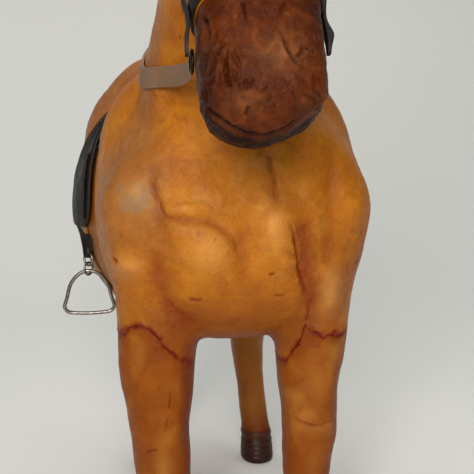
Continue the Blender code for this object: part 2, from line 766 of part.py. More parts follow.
def reins(tree, materials):
    """One strap from ring to ring, behind the jaw and round the neck just above the withers."""
    ends = []
    for side in (1, -1):
        start = bit_centre(tree, side)
        first = [(start[0] - side * 0.6, start[1] + BIT_RING + 2.0, start[2] + 0.2)]
        ends.append(np.array(first + [(x * side, y, z) for x, y, z in FREE_REIN]))
    halves = ((1, HELD_REIN), (-1, HELD_REIN[-2::-1]))
    guide = between([(x * s, y, z) for s, rows in halves for x, y, z in rows], 3)
    on, out = laid(tree, guide, REIN_WIDTH, STRAP_LIFT + 0.3)
    aside = np.array([[1.0, -0.1, 0.15]] * len(ends[0]))
    middle = smoothed(np.vstack([ends[0], on, ends[1][::-1]]), 1)
    outward = smoothed(np.vstack([aside, out, (aside * (-1, 1, 1))[::-1]]), 3)
    last = len(middle) - 1
    taper = [min(1.0, 0.5 + 0.14 * min(i, last - i)) for i in range(len(middle))]
    ribbon("reins", middle, outward, REIN_WIDTH, STRAP_THICK, materials["rein_leather"], taper=taper)


def barrel_point(tree, y, angle):
    """The form's surface round the barrel at y, and the way out: angle 90 is the spine, 0 the left side."""
    rows = between(TORSO, 3)
    mid = np.interp(y, rows[:, 0], rows[:, 3])
    turn = math.radians(angle)
    out = np.array([math.cos(turn), 0, math.sin(turn)])
    hit, normal, _, _ = tree.ray_cast(at(*(np.array([0, y, mid]) + out * 160.0)), Vector(-out))
    normal = np.array(normal) * 0.5 + out * 0.5
    return local(hit), normal / np.linalg.norm(normal)


def sheet_on(name, grid, lift, thick, material):
    """A leather sheet over a grid of surface points. lift(u, v) is the height of its underside."""
    rows, columns = len(grid), len(grid[0])
    outs = np.array([[cell[1] for cell in row] for row in grid])
    outs = np.swapaxes([smoothed(line, 1) for line in np.swapaxes(outs, 0, 1)], 0, 1)
    low, high = [], []
    for i in range(rows):
        for j in range(columns):
            u, v = i / (rows - 1), j / (columns - 1)
            on, out = grid[i][j][0], outs[i][j] / np.linalg.norm(outs[i][j])
            low.append(on + out * lift(u, v))
            high.append(on + out * (lift(u, v) + thick(u, v)))
    count = rows * columns
    faces = []
    for i in range(rows - 1):
        for j in range(columns - 1):
            a = i * columns + j
            b, c, d = a + 1, a + columns + 1, a + columns
            faces.append((a, b, c, d))
            faces.append((d + count, c + count, b + count, a + count))
    rim = [j for j in range(columns)]
    rim += [i * columns + columns - 1 for i in range(1, rows)]
    rim += [(rows - 1) * columns + j for j in range(columns - 2, -1, -1)]
    rim += [i * columns for i in range(rows - 2, 0, -1)]
    for a, b in zip(rim, rim[1:] + rim[:1]):
        faces.append((b, a, a + count, b + count))
    return object_from(name, mesh_of(name, [at(*p) for p in low + high], faces), material)


def flap_grid(tree, side):
    """Surface points under a flap: its front edge is nearly straight, its lower corners are round."""
    grid = []
    for u in np.linspace(0, 1, 7):
        row = []
        for v in np.linspace(0, 1, 9):
            angle = FLAP_TOP_ANGLE - v * (FLAP_TOP_ANGLE + 8.0) + 4.0 * v * (2 * u - 1) ** 4
            round_off = 7.0 * (max(0.0, v - 0.72) / 0.28) ** 2
            front = SADDLE_FRONT + 13.0 * (1 - v) ** 3 - 1.0 + round_off
            back = SADDLE_BACK - 6.0 - 4.0 * v - round_off
            row.append(barrel_point(tree, front + (back - front) * u, angle if side > 0 else 180 - angle))
        grid.append(row)
    return grid


def seat_height(u, v):
    """Raised pommel in front, a dip, and a higher cantle behind; thin at the sides."""
    crown = max(0.0, math.sin(math.pi * v)) ** 2
    ends = 5.0 * math.exp(-(((u - 0.08) / 0.16) ** 2)) + 8.0 * math.exp(-(((u - 0.93) / 0.16) ** 2))
    return 1.3 + crown * (5.0 + ends)


def saddle(tree, materials):
    black = materials["black_leather"]
    over_pad = PAD_LIFT + PAD_THICK + 0.7
    over_girth = STRAP_LIFT + GIRTH_THICK + 1.4
    pad = [
        [barrel_point(tree, y, a) for a in np.linspace(50, 130, 13)]
        for y in np.linspace(SEAT_FRONT - 3, SADDLE_BACK + 4, 7)
    ]
    sheet_on("saddle_pad", pad, lambda u, v: PAD_LIFT, lambda u, v: PAD_THICK, materials["felt"])

    def flap_lift(u, v):
        return over_pad + (over_girth - over_pad) * min(1.0, max(0.0, (v - 0.12) / 0.2))

    for side, word in ((1, "left"), (-1, "right")):
        sheet_on("saddle_flap_" + word, flap_grid(tree, side), flap_lift, lambda u, v: FLAP_THICK, black)

    seat = [
        [barrel_point(tree, y, a) for a in np.linspace(90 - SEAT_ANGLE, 90 + SEAT_ANGLE, 11)]
        for y in np.linspace(SEAT_FRONT, SADDLE_BACK, 9)
    ]
    sheet_on("saddle_seat", seat, lambda u, v: over_pad + 0.4, seat_height, materials["seat_leather"])

    girth = [barrel_point(tree, 112.0, a)[0] for a in np.linspace(28, -208, 40)]
    strap_on(tree, "girth_strap", girth, 11.0, materials["rein_leather"], thick=GIRTH_THICK)


def strap_profile(tree, side):
    """The (x, z) line of the strap's inner face, from its top, round the fold and up again."""
    x, z = side * STIRRUP_X, STRAP_FOLD_Z
    over_flap = STRAP_LIFT + GIRTH_THICK + 1.4 + FLAP_THICK + 1.3
    profile = []
    for high in (STRAP_TOP_Z, 226.0, 216.0, 206.0, 197.0):
        on, out = barrel_point(tree, STIRRUP_Y, math.degrees(math.atan2(high - 202.0, side * 73.0)))
        profile.append((on[0] + out[0] * over_flap, on[2] + out[2] * over_flap))
    for away, high in ((5.4, 194.0), (3.9, 190.5), (2.7, 187.0), (FOLD + 0.5, 183.5), (FOLD + 0.2, 180.0)):
        profile.append((x + side * away, high))
    for turn in np.linspace(0, 180, 9):
        angle = math.radians(turn)
        profile.append((x + side * FOLD * math.cos(angle), z - FOLD * math.sin(angle)))
    profile.append((x - side * (FOLD - 0.4), 180.0))
    profile.append((x - side * 0.1, 184.0))
    profile.append((x + side * 0.7, 187.0))
    return profile


def stirrup_strap(tree, side, twist, materials):
    """A narrow strap down the flap's outside, turned by `twist` below it and folded round the upper ring."""
    line = np.array(strap_profile(tree, side))
    away, high = (line[:, 0] - side * STIRRUP_X) * side, line[:, 1]
    ahead = np.gradient(np.stack([away, high], 1), axis=0)
    ahead /= np.linalg.norm(ahead, axis=1)[:, None]
    below = np.maximum.accumulate(np.clip((196.0 - high) / 11.0, 0, 1))
    width = STIRRUP_STRAP_WIDTH + (STIRRUP_LOOP_WIDTH - STIRRUP_STRAP_WIDTH) * np.clip((184.0 - high) / 6.0, 0, 1)
    points, count = [], len(line)
    for end in (-0.5, 0.5):
        for shift in (0.0, STIRRUP_STRAP_THICK):
            for i in range(count):
                turn = math.radians(twist) * below[i]
                out = np.array([side * math.cos(turn), -math.sin(turn)])
                along = np.array([math.sin(turn), side * math.cos(turn)])
                x, y = out * (away[i] - ahead[i, 1] * shift) + along * width[i] * end
                points.append(at(side * STIRRUP_X + x, STIRRUP_Y + y, high[i] + ahead[i, 0] * shift))
    faces = []
    for i in range(count - 1):
        a, b, c, d = i, count + i, 3 * count + i, 2 * count + i
        faces += [(a, a + 1, b + 1, b), (b, b + 1, c + 1, c), (c, c + 1, d + 1, d), (d, d + 1, a + 1, a)]
    faces += [tuple(k * count + i for k in (0, 1, 3, 2)) for i in (0, count - 1)]
    name = "stirrup_strap_" + ("left" if side > 0 else "right")
    return object_from(name, mesh_of(name, points, faces), materials["black_leather"])


def link_places():
    """Heights of the two rings' centres and of the stirrup's top wire, hanging from the strap's fold."""
    upper = STRAP_FOLD_Z + 0.2 - STRAP_RING
    lower = upper - STRAP_RING + 2 * RING_WIRE + GAP - LINK_RING
    top_wire = lower - LINK_RING + RING_WIRE + STIRRUP_WIRE + 0.4
    return upper, lower, top_wire


def stirrup(side, top, twist, material):
    """A bent wire: a round arch over a flat tread with rounded corners, closed into a ring."""
    half, corner = STIRRUP_WIDTH / 2 - STIRRUP_WIRE, 4.2
    bottom = top - STIRRUP_HEIGHT + 2 * STIRRUP_WIRE
    outline = []
    for turn in np.linspace(90, 180, 8)[:-1]:
        angle = math.radians(turn)
        outline.append((half * 0.86 * math.cos(angle), bottom + 8.0 + (top - bottom - 8.0) * math.sin(angle)))
    for turn in np.linspace(180, 270, 4):
        angle = math.radians(turn)
        outline.append((-half + corner + corner * math.cos(angle), bottom + corner + corner * math.sin(angle)))
    outline.append((0.0, bottom - 0.6))
    outline += [(-a, b) for a, b in reversed(outline[1:-1])]
    name = "stirrup_" + ("left" if side > 0 else "right")
    curve = bpy.data.curves.new(name, "CURVE")
    curve.dimensions = "3D"
    curve.bevel_depth = STIRRUP_WIRE / 1000
    curve.bevel_resolution = 1
    turn = math.radians(twist)
    line = curve.splines.new("POLY")
    line.points.add(len(outline) - 1)
    for point, (a, b) in zip(line.points, outline):
        point.co = (*at(side * STIRRUP_X + a * side * math.sin(turn), STIRRUP_Y + a * math.cos(turn), b), 1.0)
    line.use_cyclic_u = True
    obj = bpy.data.objects.new(name, curve)
    bpy.context.scene.collection.objects.link(obj)
    obj.data.materials.append(material)


def twisted(side, degrees):
    """The normal of an upright ring turned `degrees` about the vertical from the YZ plane."""
    turn = math.radians(degrees)
    return side * math.cos(turn), -math.sin(turn), 0.0


def stirrups(tree, materials):
    steel = materials["steel"]
    upper, lower, top = link_places()
    for side, word in ((1, "left"), (-1, "right")):
        upper_twist, lower_twist, twist = LEFT_TWISTS if side > 0 else RIGHT_TWISTS
        stirrup_strap(tree, side, upper_twist, materials)
        x = side * STIRRUP_X
        normal = twisted(side, upper_twist)
        ring_mesh("strap_ring_" + word, (x, STIRRUP_Y, upper), STRAP_RING, RING_WIRE, normal, steel)
        normal = twisted(side, lower_twist)
        ring_mesh("link_ring_" + word, (x, STIRRUP_Y, lower), LINK_RING, RING_WIRE, normal, steel)
        stirrup(side, top, twist, steel)


def lofted(name, rings, material, clear):
    """A closed body through rings, cut clear of the leather that it stands on."""
    points, faces = loft(rings)
    obj = object_from(name, mesh_of(name, [at(*p) for p in points], faces), material)
    return boolean(obj, clear, "DIFFERENCE")


def ears(clear, material):
    across, forward = np.array([1.0, 0, 0]), np.array([0, -1.0, 0])
    for side, word in ((1, "left"), (-1, "right")):
        rings = []
        for s, half, deep, lean in EAR:
            centre = np.array([side * (15.0 + 0.18 * s), -6.0 - 0.1 * s - lean, 384.0 + s])
            rings.append(oval(centre, across, forward, half, deep, deep, 2.0, 10))
        lofted("ear_" + word, rings, material, clear)


def mane_and_tail(clear, material):
    across, crest, brow = np.array([1.0, 0, 0]), np.array([0, 0.8, 0.6]), np.array([0, -0.8, 0.6])
    rings = []
    for y, z, half, deep in MANE:
        rings.append(oval(np.array([0, y, z]), across, crest, half, deep * 0.75, deep, 2.0, 10))
    lofted("mane", rings, material, clear)

    rings = []
    for s, half, deep in FORELOCK:
        centre = np.array([0, -14.0 - 0.62 * s, 396.0 - 0.6 * s])
        rings.append(oval(centre, across, brow, half, deep, deep, 2.0, 10))
    lofted("forelock", rings, material, clear)

    rings = []
    for i, (y, z, half, deep) in enumerate(TAIL):
        after, before = TAIL[min(i + 1, len(TAIL) - 1)], TAIL[max(i - 1, 0)]
        run = np.array([0, after[0] - before[0], after[1] - before[1]], float)
        up = np.cross(across, run / np.linalg.norm(run))
        rings.append(oval(np.array([0, y, z], float), across, up, half, deep, deep, 2.0, 12))
    lofted("tail", rings, material, clear)


def main():
    clear_scene()
    materials = {
        "tan_leather": make_material("tan_leather", (0.50, 0.22, 0.05), 0.42),
        "dark_leather": make_material("dark_leather", (0.13, 0.035, 0.012), 0.35),
        "black_leather": make_material("black_leather", (0.012, 0.009, 0.009), 0.4),
        "rein_leather": make_material("rein_leather", (0.22, 0.13, 0.075), 0.5),
        "seat_leather": make_material("seat_leather", (0.03, 0.014, 0.009), 0.35),
        "felt": make_material("felt", (0.05, 0.03, 0.02), 0.9),
        "hair": make_material("hair", (0.028, 0.012, 0.008), 0.6),
        "core_pulp": make_material("core_pulp", (0.45, 0.36, 0.25), 0.9),
        "hoof": make_material("hoof", (0.03, 0.01, 0.006), 0.35),
        "steel": make_material("steel", (0.28, 0.27, 0.25), 0.35, 1.0),
        "glass": make_material("glass", (0.02, 0.008, 0.004), 0.05),
    }
    fine = fine_form()
    form = thinned(fine)
    directions = smooth_normals(fine, coordinates(form))
    outer = helper(object_from("form_outer", form))
    inner = offset_form(form, directions, -HIDE, "form_inner")
    core = offset_form(form, directions, -HIDE - GAP, "form_core")
    clear = offset_form(form, directions, GAP, "form_clear")
    tree = tree_of(form)

    hide_and_core((outer, inner, core), materials)
    eyes(materials["glass"])
    ears(clear, materials["tan_leather"])
    mane_and_tail(clear, materials["hair"])
    bridle(tree, materials)
    bit_rings(tree, materials)
    reins(tree, materials)
    saddle(tree, materials)
    stirrups(tree, materials)


main()
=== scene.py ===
import itertools
import math

import bmesh
import bpy
import numpy as np
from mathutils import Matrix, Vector
from mathutils.bvhtree import BVHTree
from mathutils.kdtree import KDTree


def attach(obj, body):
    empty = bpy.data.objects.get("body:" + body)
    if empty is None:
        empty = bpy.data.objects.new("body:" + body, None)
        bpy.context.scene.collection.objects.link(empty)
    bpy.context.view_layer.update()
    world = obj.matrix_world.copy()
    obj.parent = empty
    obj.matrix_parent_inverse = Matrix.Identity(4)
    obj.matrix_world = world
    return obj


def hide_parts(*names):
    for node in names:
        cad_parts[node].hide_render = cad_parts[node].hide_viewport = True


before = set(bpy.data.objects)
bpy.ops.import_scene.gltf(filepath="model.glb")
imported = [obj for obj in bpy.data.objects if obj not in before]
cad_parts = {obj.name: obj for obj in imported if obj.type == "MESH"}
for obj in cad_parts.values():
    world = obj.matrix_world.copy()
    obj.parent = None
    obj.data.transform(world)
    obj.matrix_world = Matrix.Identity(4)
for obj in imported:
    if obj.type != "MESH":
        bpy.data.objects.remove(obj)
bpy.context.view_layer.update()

# The pony faces -Y. Tables and positions are in millimetres, with y counted from the front of its chest,
# as in the part's source; metres() turns them into the frame's own metres.
MIDDLE = np.array([-3.7, 89.0, 0.0])
HOOF_HEIGHT = 22.0
LEG_SHIFT = 4.5
SKIN = 1.1  # thickness of the leather that shows at its cut edges
VOXEL = 2.6
FINE, MEDIUM, COARSE = 1.1, 2.15, 4.0  # the longest sides of the body's triangles

POLL = np.array([0.8, -8.0, 373.0])
LIPS = np.array([2.1, -72.0, 263.0])
NECK_SEAM = ((0.0, 262.0), (72.0, 292.0))
THROAT_SEAM = ((-11.5, 303.0), (16.0, 390.0))
MUZZLE_STATION = 80.0
EYE_RADIUS = 5.7
# The front of the mouth, from the pony's right to its left: x and z.
LOWER_LIP = ((-26, -20, -13, -2, 8, 15, 22, 27), (271, 265, 260, 256.6, 258.6, 261.6, 266, 271))
BRIDLE_WIDTH, CHEEK_WIDTH, BROWBAND_WIDTH, REIN_WIDTH = 6.5, 6.2, 5.2, 10.3
BIT_RING = (4.8, 0.8)  # radius, wire radius

# Saddle: y of the pad's, the flaps' and the seat's front edge, and how long they are.
PAD_FRONT, PAD_LENGTH = 99.0, 65.0
FLAP_FRONT, FLAP_BACK = 89.0, 154.0
SEAT_FRONT, SEAT_LENGTH = 102.0, 58.0
PAD_LIFT, PAD_THICK = 0.5, 1.6
GIRTH_Y, GIRTH_WIDTH, GIRTH_THICK = 112.0, 11.0, 1.25
OVER_PAD, OVER_GIRTH = PAD_LIFT + PAD_THICK + 0.3, 2.1

# Stirrup straps: place, width, and the fold that holds the first ring; then the rings and the stirrup.
HANGING_X, HANGING_Y = 74.5, 99.0
STRAP_WIDTH, FOLDED_WIDTH = 5.2, 3.2
FOLD_HEIGHT, FOLD_RADIUS = 176.0, 1.5
STRAP_RING, LINK_RING, RING_WIRE = 3.7, 3.6, 0.7
STIRRUP_WIDTH, STIRRUP_HEIGHT, STIRRUP_WIRE = 32.0, 27.5, 1.15

# Torso: y, half width, lowest z, widest z, highest z, fullness below and above, shift to the left.
TORSO = (
    (3, 36, 180, 212, 240, 2, 2, 4.5), (9, 56, 158, 209, 260, 2.1, 2, 4.5),
    (22, 67, 144, 208, 274, 2.4, 1.8, 4.5), (42, 70.5, 139, 207, 283, 2.4, 2.1, 4),
    (66, 71.5, 133, 205, 290, 2.3, 3, 2.8), (92, 71.5, 128, 202, 279, 2.2, 2.5, 0.8),
    (120, 78, 125, 200, 275, 2.2, 1.85, 0), (146, 80, 126, 201, 278, 2.2, 1.85, 0),
    (172, 78, 135, 208, 287, 2.4, 2.5, 0), (196, 73.5, 148, 215, 293, 2.6, 2.8, 0),
    (216, 64, 162, 218, 289, 2.5, 2.7, 0), (231, 46, 180, 222, 276, 2.2, 2.2, 0),
    (238, 24, 202, 225, 254, 2, 2, 0),
)
# Neck: y, z, half width, half depth, lean of the section in degrees.
NECK = (
    (50, 236, 48, 48, 10), (45, 268, 46, 42, 20), (33, 295, 41.5, 38, 28), (20, 320, 38, 36, 28),
    (9, 343, 33.5, 33, 26), (0, 362, 27, 28, 24), (-6, 376, 20, 20, 24),
)
# Head: station along the axis from the poll, half width, half depth, shift forward, fullness.
HEAD = (
    (-17, 9, 10, -2, 2), (-12, 18, 19, -2, 2.1), (0, 27, 26, -1, 2.2), (18, 33, 31, 0, 2.3),
    (38, 34, 33, -1, 2.4), (58, 31, 30, 0, 2.5), (78, 27, 25.5, 2, 2.7), (96, 26.8, 23.5, 3, 2.9),
    (112, 27.6, 22.5, 3, 2.9), (124, 26, 20.5, 1.5, 2.7), (132, 20, 15.5, -1, 2.4), (136, 10, 8, -2, 2),
)
# Legs: z, x from the middle of the pair, y, half width, half depth.
FORELEG = (
    (226, 44, 34, 11, 14), (213, 46.5, 34, 19.5, 22), (192, 46, 36, 21.5, 26), (166, 42.5, 38, 21, 25),
    (140, 41.4, 36, 20.4, 22), (112, 41, 32, 18, 18), (94, 41, 30.5, 16, 16.5), (74, 39.6, 31, 14.2, 14),
    (52, 39.2, 32, 12, 12), (36, 39.2, 32, 12.8, 13.4), (26, 39.4, 30, 12.2, 12.6),
    (19, 39.6, 28, 13.4, 14.8), (4, 40, 25, 14.6, 17.4), (0, 40, 25, 14.2, 17),
)
HIND_LEG = (
    (196, 27, 198, 26, 26), (176, 33, 199, 29, 34), (150, 35, 200, 24, 32), (124, 34, 206, 17.5, 23),
    (104, 33.4, 213, 13.6, 17), (86, 33.5, 219, 11.8, 14.6), (74, 34.2, 220, 11.2, 13.6),
    (54, 35.8, 216, 9.9, 10.8), (36, 37.4, 212, 10.2, 11.2), (26, 38.2, 209, 10, 11),
    (19, 38.6, 207, 10.8, 12.6), (4, 38.9, 204, 11.6, 14.4), (0, 38.9, 204, 11.2, 14),
)
# The part's own muscles (centre, radius, height) and where its lofts are blended (centre, radius).
BULGES = (
    ((27, 4, 205), 24, 5), ((62, 24, 214), 26, 3), ((56, 46, 168), 22, 2), ((70, 186, 205), 30, 3),
    ((30, -8, 340), 16, 2.5), ((20, -76, 280), 10, 2),
)
BLENDS = (
    ((0, 40, 278), 52), ((0, -4, 352), 34), ((40, 35, 158), 34), ((38, 200, 150), 44),
)
SIDES = ((1, "left"), (-1, "right"))
X, Y, Z = np.eye(3)


# ---------------------------------------------------------------- small tools

def metres(points):
    return (np.asarray(points, float) - MIDDLE) / 1000.0


def dot(a, b):
    """The dot product of each row of a with the same row of b."""
    return np.sum(a * b, 1)


def ramp(value, start, width):
    """0 up to start, 1 from start + width on, and straight between them."""
    return np.clip((value - start) / width, 0, 1)


def bell(value, width, centre=0.0):
    return np.exp(-(((value - centre) / width) ** 2))


def unit(v):
    v = np.asarray(v, float)
    return v / np.maximum(np.linalg.norm(v, axis=-1, keepdims=True), 1e-9)


def between(rows, steps):
    """The rows with `steps` rows for each gap, on a Catmull-Rom curve through them."""
    keys = np.array(rows, float)
    padded = np.vstack([2 * keys[0] - keys[1], keys, 2 * keys[-1] - keys[-2]])
    t = (np.arange(steps) / steps)[:, None]
    out = []
    for i in range(len(keys) - 1):
        a, b, c, d = padded[i : i + 4]
        square, cube = 2 * a - 5 * b + 4 * c - d, 3 * b - a - 3 * c + d
        out.append(0.5 * (2 * b + (c - a) * t + square * t**2 + cube * t**3))
    return np.vstack(out + [keys[-1:]])


def noise3(points, scale, seed):
    """Smooth random values from -1 to 1 at points, on a lattice `scale` millimetres wide."""
    table = np.random.RandomState(seed).uniform(-1, 1, (32, 32, 32))
    cell = np.asarray(points) / scale
    base = np.floor(cell).astype(int)
    part = cell - base
    ease = part * part * (3 - 2 * part)
    total = np.zeros(len(base))
    for corner in itertools.product((0, 1), repeat=3):
        weight = np.prod(np.where(np.array(corner) == 1, ease, 1 - ease), axis=1)
        i, j, k = ((base + corner) % 32).T
        total += weight * table[i, j, k]
    return total


def fbm(points, scale, seed, octaves=3):
    return sum(noise3(points, scale / 2**k, seed + k) / 2**k for k in range(octaves))


# ---------------------------------------------------------------- the body's form

def oval(centre, across, up, half, high, low, fullness, count, upper=None):
    turn = np.linspace(0.0, 2 * math.pi, count, endpoint=False)
    c, s = np.cos(turn), np.sin(turn)
    power = 2 / np.where(s > 0, upper or fullness, fullness)
    along = np.sign(c) * np.abs(c) ** power * half
    rise = np.sign(s) * np.abs(s) ** power * np.where(s > 0, high, low)
    return centre + np.outer(along, across) + np.outer(rise, up)


def ring_faces(n, count, closed=False):
    """Faces through n rings of `count` points, with a cap at both ends unless the body closes on itself."""
    faces = []
    for i in range(n if closed else n - 1):
        a, b = i * count, (i + 1) % n * count
        faces += [(a + j, a + (j + 1) % count, b + (j + 1) % count, b + j) for j in range(count)]
    if not closed:
        faces += [tuple(range(count - 1, -1, -1)), tuple(range((n - 1) * count, n * count))]
    return faces


def head_axis():
    along = unit(LIPS - POLL)
    return along, unit(np.array([0, along[2], -along[1]]))


def body_lofts():
    torso = [
        oval(np.array([shift, y, mid]), X, Z, half, top - mid, mid - low, full, 72, upper)
        for y, half, low, mid, top, full, upper, shift in between(TORSO, 6)
    ]
    neck = []
    for y, z, half, deep, lean in between(NECK, 6):
        tilt = math.radians(lean)
        forward = np.array([0, -math.cos(tilt), -math.sin(tilt)])
        neck.append(oval(np.array([0, y, z]), X, forward, half, deep, deep, 2.1, 64))
    along, out = head_axis()
    head = [
        oval(POLL + along * s + out * shift, X, out, half, deep, deep, full, 64)
        for s, half, deep, shift, full in between(HEAD, 6)
    ]
    legs = [
        [
            oval(np.array([side * x + LEG_SHIFT, y, z]), X, Y, half, deep, deep, 2.1, 44)
            for z, x, y, half, deep in between(rows, 6)
        ]
        for rows in (FORELEG, HIND_LEG)
        for side in (1, -1)
    ]
    return [torso, neck, head, *legs]


def mesh_from(name, points, faces):
    """A mesh from points in the frame's metres. faces is a list, or an array of triangles."""
    mesh = bpy.data.meshes.new(name)
    if isinstance(faces, np.ndarray):
        mesh.vertices.add(len(points))
        mesh.vertices.foreach_set("co", np.asarray(points, np.float32).ravel())
        mesh.loops.add(faces.size)
        mesh.loops.foreach_set("vertex_index", faces.astype(np.int32).ravel())
        mesh.polygons.add(len(faces))
        mesh.polygons.foreach_set("loop_start", np.arange(0, faces.size, faces.shape[1], dtype=np.int32))
        mesh.update(calc_edges=True)
    else:
        mesh.from_pydata([tuple(p) for p in points], [], faces)
    return mesh


def face_outward(mesh):
    work = bmesh.new()
    work.from_mesh(mesh)
    bmesh.ops.recalc_face_normals(work, faces=work.faces)
    work.to_mesh(mesh)
    work.free()


def add_object(name, data):
    obj = bpy.data.objects.new(name, data)
    bpy.context.scene.collection.objects.link(obj)
    return obj


def evaluated(obj):
    bpy.context.view_layer.update()
    graph = bpy.context.evaluated_depsgraph_get()
    return bpy.data.meshes.new_from_object(obj.evaluated_get(graph), depsgraph=graph)


def arrays_of(mesh):
    """Points in millimetres counted from the chest, and triangles, of a mesh in metres."""
    mesh.calc_loop_triangles()
    points = np.zeros(len(mesh.vertices) * 3)
    mesh.vertices.foreach_get("co", points)
    tris = np.zeros(len(mesh.loop_triangles) * 3, np.int64)
    mesh.loop_triangles.foreach_get("vertices", tris)
    return points.reshape(-1, 3) * 1000 + MIDDLE, tris.reshape(-1, 3)


def united(lofts, voxel):
    """The lofts made one by a voxel remesh."""
    points, faces = [], []
    for rings in lofts:
        sides = ring_faces(len(rings), len(rings[0]))
        faces += [tuple(i + len(points) for i in face) for face in sides]
        points += list(metres(np.vstack(rings)))
    mesh = mesh_from("form", points, faces)
    face_outward(mesh)
    obj = add_object("form", mesh)
    remesh = obj.modifiers.new("union", "REMESH")
    remesh.mode = "VOXEL"
    remesh.voxel_size = voxel / 1000
    made = arrays_of(evaluated(obj))
    bpy.data.objects.remove(obj)
    return made


def sides_of(tris):
    return np.vstack([tris[:, [0, 1]], tris[:, [1, 2]], tris[:, [2, 0]]])


def edges_of(tris):
    """Each edge once, and for every triangle the numbers of its three edges."""
    pairs = np.sort(sides_of(tris), axis=1)
    size = pairs.max() + 1
    keys, inverse = np.unique(pairs[:, 0] * size + pairs[:, 1], return_inverse=True)
    return np.stack([keys // size, keys % size], 1), inverse.reshape(3, -1).T


def neighbour_mean(values, edges):
    count = len(values)
    a, b = edges.T
    degree = np.maximum(np.bincount(edges.ravel(), minlength=count), 1)
    total = [np.bincount(a, column[b], count) + np.bincount(b, column[a], count) for column in values.T]
    return np.stack(total, 1) / degree[:, None]


def normals_of(points, tris):
    a, b, c = (points[tris[:, k]] for k in range(3))
    face = np.cross(b - a, c - a)
    total = [sum(np.bincount(tris[:, j], face[:, k], len(points)) for j in range(3)) for k in range(3)]
    return unit(np.stack(total, 1))


def refined(points, tris, marked):
    """Splits the marked triangles in four, and their neighbours so that nothing cracks.

    A new point lies on the curve that the normals at its edge's ends suggest, not on the straight edge."""
    edges, sides = edges_of(tris)
    split = np.zeros(len(edges), bool)
    split[sides[marked].ravel()] = True
    normals = normals_of(points, tris)
    chosen = np.nonzero(split)[0]
    a, b = edges[chosen].T
    run = points[b] - points[a]
    bend = dot(run, normals[a])[:, None] * normals[a] - dot(run, normals[b])[:, None] * normals[b]
    new = np.full(len(edges), -1)
    new[chosen] = len(points) + np.arange(len(chosen))
    points = np.vstack([points, (points[a] + points[b]) / 2 - bend / 8])
    mids = new[sides]
    number = (mids >= 0).sum(1)
    out = [tris[number == 0]]

    def add(pick, k, *shapes):
        corners = np.hstack([np.roll(tris[pick], -k, 1), np.roll(mids[pick], -k, 1)])
        out.extend(corners[:, list(shape)] for shape in shapes)

    # In a shape, 0 to 2 are the triangle's corners and 3 to 5 the new points on its sides.
    add(number == 3, 0, (0, 3, 5), (1, 4, 3), (2, 5, 4), (3, 4, 5))
    for k in range(3):
        add((number == 1) & (mids[:, k] >= 0), k, (0, 3, 2), (3, 1, 2))
        add((number == 2) & (mids[:, k] < 0), k, (0, 1, 4), (0, 4, 5), (5, 4, 2))
    return points, np.vstack(out)


def parted(points, tris, field):
    """Cuts triangles along field = 0.

    Returns a recipe for each new point (two points and a share), and the triangles on the + and - sides."""
    field = np.where(np.abs(field) < 1e-6, 1e-6, field)
    high = field > 0
    number = high[tris].sum(1)
    plus, minus = [tris[number == 3]], [tris[number == 0]]
    extra, places = [], {}

    def crossing(i, j):
        key = (min(i, j), max(i, j))
        if key not in places:
            a, b = key
            t = min(0.95, max(0.05, field[a] / (field[a] - field[b])))
            places[key] = len(points) + len(extra)
            extra.append(np.concatenate([[a, b], [t]]))
        return places[key]

    more = ([], [])
    for tri in tris[(number == 1) | (number == 2)].tolist():
        alone = high[tri].sum() == 1
        k = next(n for n in range(3) if high[tri[n]] == alone)
        a, b, c = tri[k], tri[(k + 1) % 3], tri[(k + 2) % 3]
        ab, ac = crossing(a, b), crossing(a, c)
        more[0 if alone else 1].append((a, ab, ac))
        more[1 if alone else 0].extend([(ab, b, c), (ab, c, ac)])
    recipe = np.array(extra).reshape(-1, 3)
    plus += [np.array(more[0], np.int64).reshape(-1, 3)]
    minus += [np.array(more[1], np.int64).reshape(-1, 3)]
    return recipe, np.vstack(plus), np.vstack(minus)


# The colour marks: stains and painted shade, warmer places and painted shade, paler places and painted
# highlights, and painted sheen.
STAIN_AND_SHADE, WARM_AND_SHADE, PALE_AND_HIGHLIGHT, PAINTED_SHEEN = range(4)  # the colour marks


class Form:
    """The body's surface: points, triangles, and four colour marks for each point."""

    def __init__(self, points, tris):
        self.points, self.tris = points, tris
        self.dye_and_light = np.zeros((len(points), 4))

    def mark(self, kind, strength, where=slice(None)):
        self.dye_and_light[where, kind] = np.maximum(self.dye_and_light[where, kind], strength)

    def raise_by(self, normals, rise):
        self.points = self.points + normals * rise[:, None]

    def refine(self, rule, rounds):
        """Splits the triangles whose longest side is over rule(middle), up to `rounds` times."""
        for _ in range(rounds):
            corners = self.points[self.tris]
            longest = np.linalg.norm(corners - np.roll(corners, 1, 1), axis=2).max(1)
            marked = longest > rule(corners.mean(1))
            if not marked.any():
                break
            self.points, self.tris = refined(self.points, self.tris, marked)
        self.dye_and_light = np.zeros((len(self.points), 4))

    def smooth(self, rounds, share):
        """Evens the surface out without shrinking it."""
        edges, _ = edges_of(self.tris)
        for _ in range(rounds):
            for part in (share, -1.04 * share):
                self.points = self.points + (neighbour_mean(self.points, edges) - self.points) * part

    def part_of(self, tris, rule):
        """Cuts some of the triangles along rule = 0, and returns those on the + and on the - side."""
        recipe, plus, minus = parted(self.points, tris, rule(self.points))
        if len(recipe):
            a, b, t = recipe[:, 0].astype(int), recipe[:, 1].astype(int), recipe[:, 2:3]
            self.points = np.vstack([self.points, self.points[a] * (1 - t) + self.points[b] * t])
            self.dye_and_light = np.vstack([self.dye_and_light, self.dye_and_light[a] * (1 - t) + self.dye_and_light[b] * t])
        return plus, minus


# ---------------------------------------------------------------- sculpting

